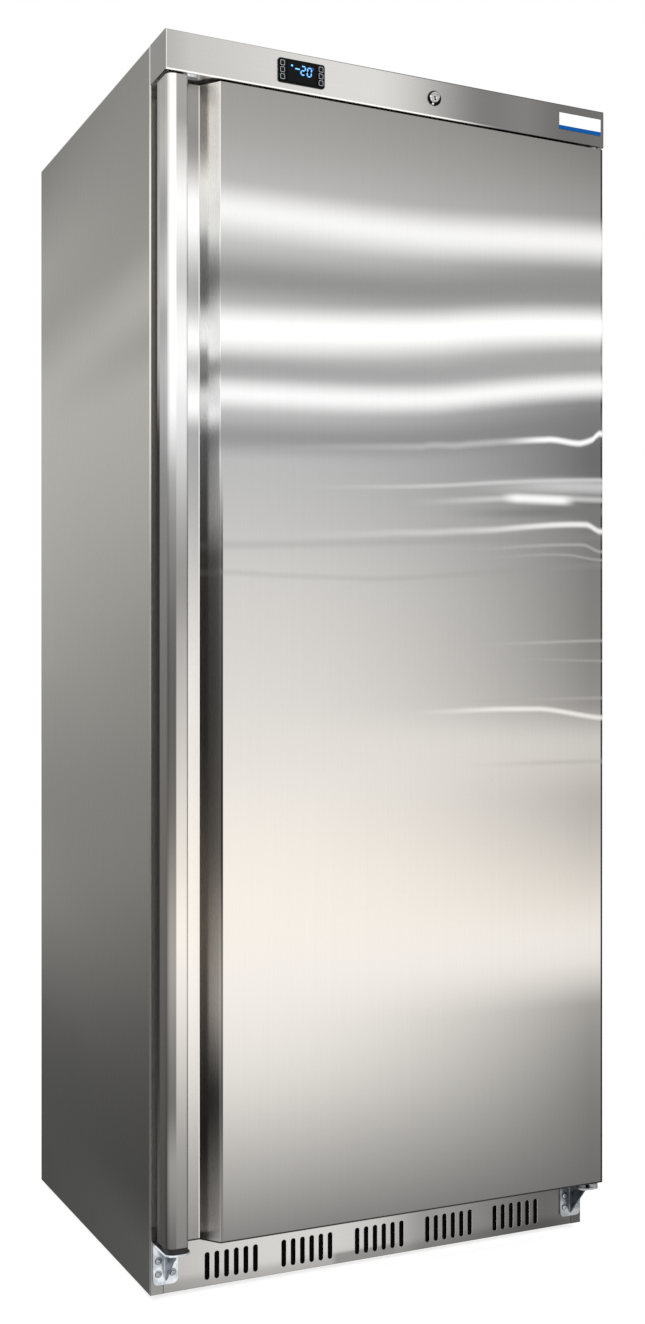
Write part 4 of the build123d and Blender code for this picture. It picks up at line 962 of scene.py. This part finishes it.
# ---------------------------------------------------------------------------------------------
# Making pieces
# ---------------------------------------------------------------------------------------------
def node_object(name: str) -> bpy.types.Object:
    """Returns the object of a CAD node."""
    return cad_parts[name]


def dress_node(name: str, finish: Finish) -> None:
    """Gives every material slot of a CAD node one finish."""
    shown = node_object(name)
    if not shown.material_slots:
        shown.data.materials.append(finish.material())
    for slot in shown.material_slots:
        slot.material = finish.material()
    log.info("node %s wears %s", name, finish.name)


def dress_nodes(names: Iterable[str], finish: Finish) -> None:
    """Gives several CAD nodes the same finish."""
    for name in names:
        dress_node(name, finish)


def settle(
    piece: bpy.types.Object,
    finish: Finish,
    body: str,
    stands_for: Sequence[str] = (),
    soft_angle: float = 35.0,
) -> bpy.types.Object:
    """Finishes a new piece.

    Args:
        piece: the piece, a mesh object at the origin.
        finish: what it is made of.
        body: the body that it moves with.
        stands_for: CAD nodes that it is shown in place of.
        soft_angle: edges flatter than this many degrees are shaded as curves.

    Returns:
        The piece.
    """
    piece.data.materials.clear()
    piece.data.materials.append(finish.material())
    piece.data.shade_smooth()
    piece.data.set_sharp_from_angle(angle=math.radians(soft_angle))
    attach(piece, body)
    if stands_for:
        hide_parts(*stands_for)
    log.info("piece %s rides on %s", piece.name, body)
    return piece


def mesh_piece(name: str, shape: bmesh.types.BMesh) -> bpy.types.Object:
    """Turns a finished bmesh into an object of its own."""
    bmesh.ops.remove_doubles(shape, verts=shape.verts, dist=1e-7)
    bmesh.ops.recalc_face_normals(shape, faces=shape.faces)
    mesh = bpy.data.meshes.new(name)
    shape.to_mesh(mesh)
    shape.free()
    piece = bpy.data.objects.new(name, mesh)
    bpy.context.scene.collection.objects.link(piece)
    return piece


def curve_piece(name: str, curve: bpy.types.Curve, place: Matrix) -> bpy.types.Object:
    """Turns a curve into a mesh object of its own, moved by a matrix."""
    holder = bpy.data.objects.new(name, curve)
    bpy.context.scene.collection.objects.link(holder)
    graph = bpy.context.evaluated_depsgraph_get()
    mesh = bpy.data.meshes.new_from_object(holder.evaluated_get(graph))
    bpy.data.objects.remove(holder)
    bpy.data.curves.remove(curve)
    mesh.transform(place)
    shape = bmesh.new()
    shape.from_mesh(mesh)
    bpy.data.meshes.remove(mesh)
    return mesh_piece(name, shape)


def plate_curve(
    name: str, outlines: Sequence[Sequence[Pair]], thickness: float, edge: float
) -> bpy.types.Curve:
    """Returns a flat filled curve with holes, a thickness and rounded edges.

    Args:
        name: the curve's name.
        outlines: closed outlines, the outer one and any holes.
        thickness: from face to face, the rounding included.
        edge: radius of the rounded edges.

    Returns:
        The curve, lying in its own XY plane with its middle at z 0.
    """
    curve = bpy.data.curves.new(name, "CURVE")
    curve.dimensions = "2D"
    curve.fill_mode = "BOTH"
    curve.extrude = max(thickness / 2 - edge, 0.0)
    curve.bevel_depth = edge
    curve.bevel_resolution = 2
    curve.offset = -edge
    for outline in outlines:
        spline = curve.splines.new("POLY")
        spline.points.add(len(outline) - 1)
        for point, (x, y) in zip(spline.points, outline):
            point.co = (x, y, 0.0, 1.0)
        spline.use_cyclic_u = True
    return curve


def rounded_box(middle: Pair, size: Pair, radius: float, steps: int = 6) -> list[Pair]:
    """Returns the outline of a rectangle with rounded corners."""
    points = []
    for corner, (sx, sy) in enumerate(((1, 1), (-1, 1), (-1, -1), (1, -1))):
        centre = (middle[0] + sx * (size[0] / 2 - radius), middle[1] + sy * (size[1] / 2 - radius))
        for step in range(steps + 1):
            angle = math.radians(90 * corner + 90 * step / steps)
            points.append((centre[0] + radius * math.cos(angle), centre[1] + radius * math.sin(angle)))
    return points


def facing_front(y: float) -> Matrix:
    """Returns the move that stands a flat shape upright at depth y, facing the viewer in front."""
    return Matrix.Translation((0.0, y, 0.0)) @ Matrix.Rotation(math.radians(90), 4, "X")


def lathe(profile: Sequence[Pair], steps: int = 48) -> bmesh.types.BMesh:
    """Turns a profile of radius and height round the z axis.

    Args:
        profile: points from the first to the last, a radius of 0 closes an end.
        steps: number of faces round the axis.

    Returns:
        The turned shape.
    """
    shape = bmesh.new()
    rings = []
    for radius, height in profile:
        if radius <= 0:
            rings.append([shape.verts.new((0.0, 0.0, height))])
            continue
        turn = [2 * math.pi * step / steps for step in range(steps)]
        rings.append([shape.verts.new((radius * math.cos(a), radius * math.sin(a), height)) for a in turn])
    for lower, upper in zip(rings, rings[1:]):
        for step in range(steps):
            after = (step + 1) % steps
            corners = [lower[step % len(lower)], lower[after % len(lower)]]
            corners += [upper[after % len(upper)], upper[step % len(upper)]]
            unique = list(dict.fromkeys(corners))
            if len(unique) > 2:
                shape.faces.new(unique)
    return shape


def add_box(shape: bmesh.types.BMesh, low: Point, high: Point) -> None:
    """Adds a box between two corners to an open shape."""
    middle = [(a + b) / 2 for a, b in zip(low, high)]
    size = [b - a for a, b in zip(low, high)]
    bmesh.ops.create_cube(shape, size=1.0, matrix=Matrix.Translation(middle) @ Matrix.Diagonal((*size, 1.0)))


# ---------------------------------------------------------------------------------------------
# Studio
# ---------------------------------------------------------------------------------------------
@dataclass
class Studio:
    """Pale floor, plain white surroundings, soft lamps and the camera.

    Fields:
        floor_radius: of the round floor.
        camera_place: where the photograph was taken from.
        camera_turn: degrees that it looks off the front, to the right.
        lens: its length for a long side of 36 mm.
        shift: how far the picture is shifted up, as a share of its long side.
        room_level: how bright the room is that the metal mirrors.
        lamps: names, places, sizes and powers of the lamps.
    """

    floor_radius: float = 30.0
    camera_place: Point = (-1.1525, -2.5096, 0.91488)
    camera_turn: float = -25.213
    lens: float = 42.301
    shift: float = 0.02539
    room_level: float = 1.15
    lamps: tuple[tuple[str, Point, float, float], ...] = (
        ("lamp_left", (-2.6, -3.0, 3.2), 2.4, 60.0),
        ("lamp_right", (2.8, -2.4, 2.6), 2.4, 36.0),
        ("lamp_rear", (0.5, 3.2, 3.4), 2.6, 40.0),
    )

    def build(self) -> None:
        """Builds everything that isn't part of the object."""
        self._floor()
        self._world()
        self._lights()
        self._camera()
        bpy.context.scene.view_settings.view_transform = "Standard"

    def _floor(self) -> None:
        """Lays a round white floor that keeps the object's shadow."""
        shape = lathe(((0.0, 0.0), (self.floor_radius, 0.0)), 96)
        floor = mesh_piece("floor", shape)
        floor.location = (0.0, 0.0, -0.0004)
        material = bpy.data.materials.new("studio_floor")
        material.use_nodes = True
        nodes = Nodes(material.node_tree)
        path = nodes.add("LightPath")
        seen = Value(nodes, path.outputs["Is Camera Ray"]) + Value(nodes, path.outputs["Is Glossy Ray"])
        seen = nodes.number("MINIMUM", seen + Value(nodes, path.outputs["Is Transmission Ray"]), 1.0)
        cloud = nodes.noise((0.8, 0.8, 0.8), 2.0)
        plain = nodes.add("BsdfDiffuse", {}, {"Color": nodes.blend(paint(214.0), paint(218.0), cloud)})
        shaded = nodes.add("BsdfDiffuse", {}, {"Color": (0.40, 0.40, 0.40, 1.0)})
        bright = nodes.add("Emission", {}, {"Color": (1.0, 1.0, 1.0, 1.0), "Strength": 0.78})
        both = nodes.add("AddShader", {}, {0: shaded.outputs[0], 1: bright.outputs[0]})
        mixed = nodes.add("MixShader", {}, {0: seen, 1: plain.outputs[0], 2: both.outputs[0]})
        nodes.add("OutputMaterial", {}, {"Surface": mixed.outputs[0]})
        floor.data.materials.append(material)
        floor.visible_glossy = False

    def _world(self) -> None:
        """Surrounds the object with white, a little greyer low down and to the sides for the metal."""
        world = bpy.data.worlds.new("white_studio")
        world.use_nodes = True
        world.cycles.sampling_method = "NONE"
        nodes = Nodes(world.node_tree)
        direction = nodes.add("TexCoord").outputs["Generated"]
        split = nodes.add("SeparateXYZ", {}, {0: direction})
        x, y, z = (Value(nodes, output) for output in split.outputs)
        level = nodes.number("SQRT", x * x + y * y + 0.0001)
        climb = z / level
        side = x / level
        front = y / level
        stops = (
            (-3.0, paint(225.0)),
            (-0.9, paint(235.0)),
            (-0.4, paint(243.0)),
            (0.0, paint(250.0)),
            (0.45, paint(252.0)),
            (1.0, paint(214.0)),
            (3.0, paint(236.0)),
        )
        room = nodes.ramp(climb, stops, "EASE")
        right_wall = nodes.rise(side, 0.80, 0.97) * 0.45
        left_wall = nodes.rise(side, -0.86, -0.98) * 0.35
        rear_wall = nodes.rise(front, 0.985, 1.0) * 0.15
        walls = nodes.number("MINIMUM", right_wall + left_wall + rear_wall, 1.0)
        room = nodes.blend(room, paint(96.0), walls)
        path = nodes.add("LightPath")
        seen = Value(nodes, path.outputs["Is Camera Ray"]) + Value(nodes, path.outputs["Is Transmission Ray"])
        room = nodes.blend(room, (self.room_level,) * 3 + (1.0,), 1.0, "MULTIPLY")
        shown = nodes.blend((0.80, 0.80, 0.80, 1.0), room, Value(nodes, path.outputs["Is Glossy Ray"]))
        shown = nodes.blend(shown, (1.0, 1.0, 1.0, 1.0), nodes.number("MINIMUM", seen, 1.0))
        background = nodes.add("Background", {}, {"Color": shown, "Strength": 1.0})
        nodes.add("OutputWorld", {}, {"Surface": background.outputs[0]})
        bpy.context.scene.world = world

    def _lights(self) -> None:
        """Hangs large soft lamps; the metal shows the white room and not the lamps."""
        for name, place, size, power in self.lamps:
            lamp = bpy.data.lights.new(name, "AREA")
            lamp.shape = "DISK"
            lamp.size = size
            lamp.energy = power
            holder = bpy.data.objects.new(name, lamp)
            holder.location = place
            aim = Vector((0.0, 0.0, 0.9)) - Vector(place)
            holder.rotation_euler = aim.to_track_quat("-Z", "Y").to_euler()
            holder.visible_glossy = False
            bpy.context.scene.collection.objects.link(holder)

    def _camera(self) -> None:
        """Sets the camera where the photograph was taken from."""
        data = bpy.data.cameras.new("camera")
        data.lens = self.lens
        data.sensor_width = 36.0
        data.sensor_fit = "AUTO"
        data.shift_y = self.shift
        camera = bpy.data.objects.new("camera", data)
        camera.location = self.camera_place
        camera.rotation_euler = (math.radians(90), 0.0, math.radians(self.camera_turn))
        bpy.context.scene.collection.objects.link(camera)
        bpy.context.scene.camera = camera


# ---------------------------------------------------------------------------------------------
# Sub-assemblies
# ---------------------------------------------------------------------------------------------
@dataclass
class CabinetShell:
    """Side panels, roof, rear, front frame, liner and foam of the cabinet."""

    def build(self) -> None:
        """Dresses the shell's nodes."""
        dress_nodes(("left_side_panel", "right_side_panel"), SIDE_STEEL)
        dress_node("top_panel", TOP_STEEL)
        dress_node("front_frame", FRAME_STEEL)
        dress_nodes(("rear_panel", "compartment_sheet", "base_pan"), GALVANISED)
        dress_node("inner_liner", LINER)
        dress_node("cabinet_insulation", FOAM)


@dataclass
class Header:
    """Folded header box with its blank plate underneath."""

    def build(self) -> None:
        """Dresses the header's nodes."""
        dress_node("header_panel", HEADER_STEEL)
        dress_nodes(("upper_hinge_blank", "upper_hinge_bracket"), ZINC)


@dataclass
class Controller:
    """Temperature controller: black bezel, dark window with lit digits, six outlined keys."""

    middle: Pair = (-0.1698, 1.865)
    front: float = -0.3485
    digit_size: Pair = (0.0066, 0.0130)
    digit_lean: float = 0.09
    stroke: float = 0.0020
    thickness: float = 0.00012
    key_front: float = -0.3489
    key_size: Pair = (0.0088, 0.0094)
    key_offset: float = 0.0322
    key_pitch: float = 0.0104
    line: float = 0.00055
    line_radius: float = 0.0011
    segments: Mapping[str, str] = field(default_factory=lambda: {"2": "abged", "0": "abcdef"})

    def build(self) -> None:
        """Dresses the controller and adds its digits and key outlines."""
        dress_node("controller_housing", HOUSING)
        dress_node("display_window", DISPLAY)
        dress_nodes([f"controller_key_{number}" for number in range(1, 7)], KEY)
        self._digits()
        self._degree()
        self._outlines()

    def _segment(self, name: str, middle: Pair) -> list[Pair]:
        """Returns the outline of one of the seven strokes of a digit."""
        wide, high = self.digit_size[0] / 2, self.digit_size[1] / 2
        half = self.stroke / 2
        ends = {
            "a": ((-wide, high), (wide, high)),
            "b": ((wide, high), (wide, 0.0)),
            "c": ((wide, 0.0), (wide, -high)),
            "d": ((-wide, -high), (wide, -high)),
            "e": ((-wide, 0.0), (-wide, -high)),
            "f": ((-wide, high), (-wide, 0.0)),
            "g": ((-wide, 0.0), (wide, 0.0)),
        }[name]
        start, end = (Vector(point) for point in ends)
        along = (end - start).normalized()
        over = Vector((-along.y, along.x)) * half
        start, end = start + along * half * 0.55, end - along * half * 0.55
        tips = (
            start,
            start + along * half + over,
            end - along * half + over,
            end,
            end - along * half - over,
            start + along * half - over,
        )
        return [(middle[0] + tip.x + tip.y * self.digit_lean, middle[1] + tip.y) for tip in tips]

    def _digits(self) -> None:
        """Adds the lit digits, the minus sign and the round lamp."""
        x, z = self.middle
        outlines = [self._segment(stroke, (x + 0.0023, z + 0.0036)) for stroke in self.segments["2"]]
        outlines += [self._segment(stroke, (x + 0.0127, z + 0.0026)) for stroke in self.segments["0"]]
        outlines.append(rounded_box((x - 0.0072, z + 0.0048), (0.0080, 0.0022), 0.0009))
        outlines.append(rounded_box((x - 0.0164, z + 0.0087), (0.0034, 0.0034), 0.00169))
        curve = plate_curve("display_digits", outlines, self.thickness, 0.00003)
        piece = curve_piece("display_digits", curve, facing_front(self.front - self.thickness / 2))
        settle(piece, DIGIT, "cabinet")

    def _degree(self) -> None:
        """Adds the small dim ring after the digits."""
        x, z = self.middle
        ring = [rounded_box((x + 0.0180, z + 0.0086), (size, size), size / 2.02) for size in (0.0038, 0.0020)]
        curve = plate_curve("display_degree", ring, self.thickness, 0.00003)
        piece = curve_piece("display_degree", curve, facing_front(self.front - self.thickness / 2))
        settle(piece, DIM_DIGIT, "cabinet")

    def _outlines(self) -> None:
        """Adds a thin pale outline on the face of each key."""
        number = 0
        for side in (-1, 1):
            for row in (-1, 0, 1):
                number += 1
                place = (self.middle[0] + side * self.key_offset, self.middle[1] + row * self.key_pitch)
                size = (self.key_size[0] - 0.0016, self.key_size[1] - 0.0014)
                inside = (size[0] - 2 * self.line, size[1] - 2 * self.line)
                outer = rounded_box(place, size, self.line_radius)
                inner = rounded_box(place, inside, self.line_radius - self.line)
                curve = plate_curve(f"key_outline_{number}", [outer, inner], 0.00006, 0.00002)
                at = facing_front(self.key_front - 0.00003)
                piece = curve_piece(f"key_outline_{number}", curve, at)
                settle(piece, KEY_LINE, f"controller_key_{number}")


@dataclass
class Lock:
    """Key lock: turned ring round a plug with a keyway."""

    middle: Pair = LOCK_MIDDLE
    front: float = -0.349
    header: float = -0.346
    ring_radius: float = 0.01175
    bore_radius: float = 0.00605
    shoulder: float = 0.0019

    def build(self) -> None:
        """Dresses the lock and turns its ring."""
        dress_nodes(("lock_nut", "lock_plug"), LOCK_CORE)
        self._ring()

    def _ring(self) -> None:
        """Turns the ring with a rounded shoulder, a groove and the barrel behind it, plain where the real one
        is threaded.
        """
        proud = self.header - self.front
        outer, bore = self.ring_radius, self.bore_radius
        profile = [(bore, -0.022), (bore, proud - 0.0009), (bore + 0.0005, proud - 0.0003)]
        profile += [(bore + 0.0012, proud - 0.0004), (bore + 0.0018, proud - 0.0008)]
        profile.append((bore + 0.0026, proud - 0.0004))
        round_off = self.shoulder
        for step in range(7):
            angle = math.radians(90 - 15 * step)
            aside, above = round_off * math.cos(angle), round_off * math.sin(angle)
            profile.append((outer - round_off + aside, proud - round_off + above))
        profile += [(outer, 0.0), (0.0095, 0.0), (0.0095, -0.022), (bore, -0.022)]
        shape = lathe(profile, 64)
        x, z = self.middle
        shape.transform(Matrix.Translation((x, 0.0, z)) @ facing_front(self.header))
        settle(mesh_piece("lock_ring", shape), CHROME, "cabinet", ("lock_barrel",))


@dataclass
class LabelPlate:
    """Bare white label plate with a blue stripe."""

    stripe: float = 0.0063

    def build(self) -> None:
        """Dresses the plate with its stripe."""
        low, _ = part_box("badge_plate")
        dress_node("badge_plate", StripedLabel("striped_label", stripe_top=low[2] + self.stripe))


@dataclass
class Door:
    """Door with its folded handle, foam, liner and gasket."""

    def build(self) -> None:
        """Dresses the door's nodes."""
        dress_node("door_skin", DOOR_STEEL)
        dress_node("door_handle_profile", HANDLE_STEEL)
        dress_node("door_insulation", FOAM)
        dress_node("door_liner", DOOR_LINER)
        dress_node("door_gasket", GASKET)
        dress_node("hinge_bushes", NYLON)
        dress_node("lock_keeper", HOUSING)


@dataclass
class Grille:
    """Slotted panel under the door, its slots pressed through with rounded rims."""

    half: float = 0.3682
    low: float = 0.010
    high: float = 0.101
    front: float = -0.278
    flange: float = 0.012
    sheet: float = 0.001
    rim: float = 0.0009
    groups: int = 5
    slots: int = 6
    group_pitch: float = 0.1284
    slot_pitch: float = 0.01605
    slot_size: Pair = (0.0078, 0.0419)
    slot_middle: float = 0.0409
    # depths of the dark sheet behind the slots, painted shade
    shade_sheet_depths: Pair = (-0.2745, -0.2695)

    def build(self) -> None:
        """Builds the pressed panel in place of the plain one."""
        plate = self._plate()
        returns = self._returns()
        shape = bmesh.new()
        shape.from_mesh(plate.data)
        shape.from_mesh(returns.data)
        for part in (plate, returns):
            bpy.data.objects.remove(part)
        piece = mesh_piece("grille_panel", shape)
        settle(piece, GRILLE_STEEL, "cabinet", ("front_grille",), 50.0)
        weighted = piece.modifiers.new("even_faces", "WEIGHTED_NORMAL")
        weighted.keep_sharp = True
        self._shade_sheet()

    def _plate(self) -> bpy.types.Object:
        """Presses the front of the panel with its slots."""
        middle = (self.low + self.high) / 2
        outlines = [rounded_box((0.0, middle), (2 * self.half, self.high - self.low), 0.0004, 1)]
        for group in range(self.groups):
            for slot in range(self.slots):
                x = (group - (self.groups - 1) / 2) * self.group_pitch
                x += (slot - (self.slots - 1) / 2) * self.slot_pitch
                outlines.append(rounded_box((x, self.slot_middle), self.slot_size, self.slot_size[0] / 2.02))
        curve = plate_curve("grille_plate", outlines, 2 * self.rim, self.rim)
        return curve_piece("grille_plate", curve, facing_front(self.front + self.rim))

    def _shade_sheet(self) -> None:
        """Lays a dark sheet behind the slots, painted shade for the dark space there."""
        shape = bmesh.new()
        inside = self.half - 1.5 * self.sheet
        add_box(
            shape,
            (-inside, self.shade_sheet_depths[0], self.low + 1.5 * self.sheet),
            (inside, self.shade_sheet_depths[1], self.high - 1.5 * self.sheet),
        )
        settle(mesh_piece("grille_slot_shade", shape), SLOT_SHADE_SHEET, "cabinet")

    def _returns(self) -> bpy.types.Object:
        """Folds the four edges of the panel back."""
        shape = bmesh.new()
        near, far = self.front + self.rim, self.front + self.flange
        add_box(shape, (-self.half, near, self.high - self.sheet), (self.half, far, self.high))
        add_box(shape, (-self.half, near, self.low), (self.half, far, self.low + self.sheet))
        for side in (-1, 1):
            edges = sorted((side * self.half, side * (self.half - self.sheet)))
            add_box(shape, (edges[0], near, self.low + self.sheet), (edges[1], far, self.high - self.sheet))
        return mesh_piece("grille_returns", shape)


@dataclass
class HingeHardware:
    """Lower brackets with their screws, rest pad, pins and washers."""

    plate_front: float = -0.281
    bracket_x: float = BRACKET_X
    screw_pitch: float = SCREW_PITCH
    screw_rows: Pair = SCREW_ROWS
    head_radius: float = 0.0044
    head_height: float = 0.0023

    def build(self) -> None:
        """Dresses the hardware and adds the screws."""
        dress_node("lower_hinge_brackets", ZINC)
        dress_node("door_rest_pad", PAD)
        dress_nodes(("hinge_pins", "hinge_washers"), HINGE_STEEL)
        self._screws()

    def _head(self) -> bmesh.types.BMesh:
        """Returns one pan head with a round recess, its seat at z 0."""
        radius, height = self.head_radius, self.head_height
        profile = [(radius, 0.0), (radius, 0.0004)]
        for step in range(1, 6):
            angle = math.radians(18 * step)
            rise = 0.0004 + (height - 0.0004) * math.sin(angle)
            profile.append((radius * (0.55 + 0.45 * math.cos(angle)), rise))
        profile += [(0.0019, height), (0.0017, height - 0.0002), (0.0015, 0.0009), (0.0, 0.0007)]
        return lathe(profile, 24)

    def _screws(self) -> None:
        """Sets four pan heads on each bracket."""
        whole = bmesh.new()
        for side in (-1, 1):
            for across in (-1, 1):
                for z in self.screw_rows:
                    head = self._head()
                    x = side * self.bracket_x + across * self.screw_pitch
                    turn = Matrix.Rotation(math.radians(90), 4, "X")
                    head.transform(Matrix.Translation((x, self.plate_front, z)) @ turn)
                    mesh = bpy.data.meshes.new("head")
                    head.to_mesh(mesh)
                    head.free()
                    whole.from_mesh(mesh)
                    bpy.data.meshes.remove(mesh)
        settle(mesh_piece("bracket_pan_heads", whole), SCREW, "cabinet", ("bracket_screws",))


@dataclass
class RearService:
    """Service cover with vents at the back, and the mains inlet."""

    def build(self) -> None:
        """Dresses the rear cover and inlet."""
        dress_node("rear_service_cover", GALVANISED)
        dress_node("power_inlet", HOUSING)


@dataclass
class Underside:
    """Feet, rollers and their brackets."""

    def build(self) -> None:
        """Dresses the feet and rollers."""
        dress_node("front_feet", HINGE_STEEL)
        dress_node("roller_brackets", ZINC)
        dress_nodes(("rear_roller_left", "rear_roller_right"), NYLON)


@dataclass
class Evaporator:
    """Tube-and-wire shelves that carry the cold, with rails, risers and probe."""

    shelf_count: int = 6

    def build(self) -> None:
        """Dresses the cold space."""
        dress_nodes([f"evaporator_shelf_{number}" for number in range(1, self.shelf_count + 1)], COIL)
        dress_nodes(("evaporator_risers", "shelf_rails"), COIL)
        dress_node("temperature_probe", CHROME)


@dataclass
class MachineCompartment:
    """Compressor, condenser, fan and the refrigerant circuit."""

    def build(self) -> None:
        """Dresses the machine compartment."""
        dress_node("compressor", COMPRESSOR)
        dress_node("compressor_grommets", PAD)
        dress_node("condenser_coil", FINS)
        dress_node("fan_shroud", GALVANISED)
        dress_node("fan_motor", MOTOR)
        dress_node("fan_blade", FAN)
        dress_nodes(("filter_drier", "refrigerant_lines"), COPPER)


def main() -> None:
    """Builds the studio and every sub-assembly in order."""
    logging.basicConfig(level=logging.INFO, format="%(message)s")
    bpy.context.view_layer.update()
    Studio().build()
    parts = (
        CabinetShell(),
        Header(),
        Controller(),
        Lock(),
        LabelPlate(),
        Door(),
        Grille(),
        HingeHardware(),
        RearService(),
        Underside(),
        Evaporator(),
        MachineCompartment(),
    )
    for part in parts:
        part.build()
        log.info("built %s", type(part).__name__)


if __name__ == "__main__":
    main()
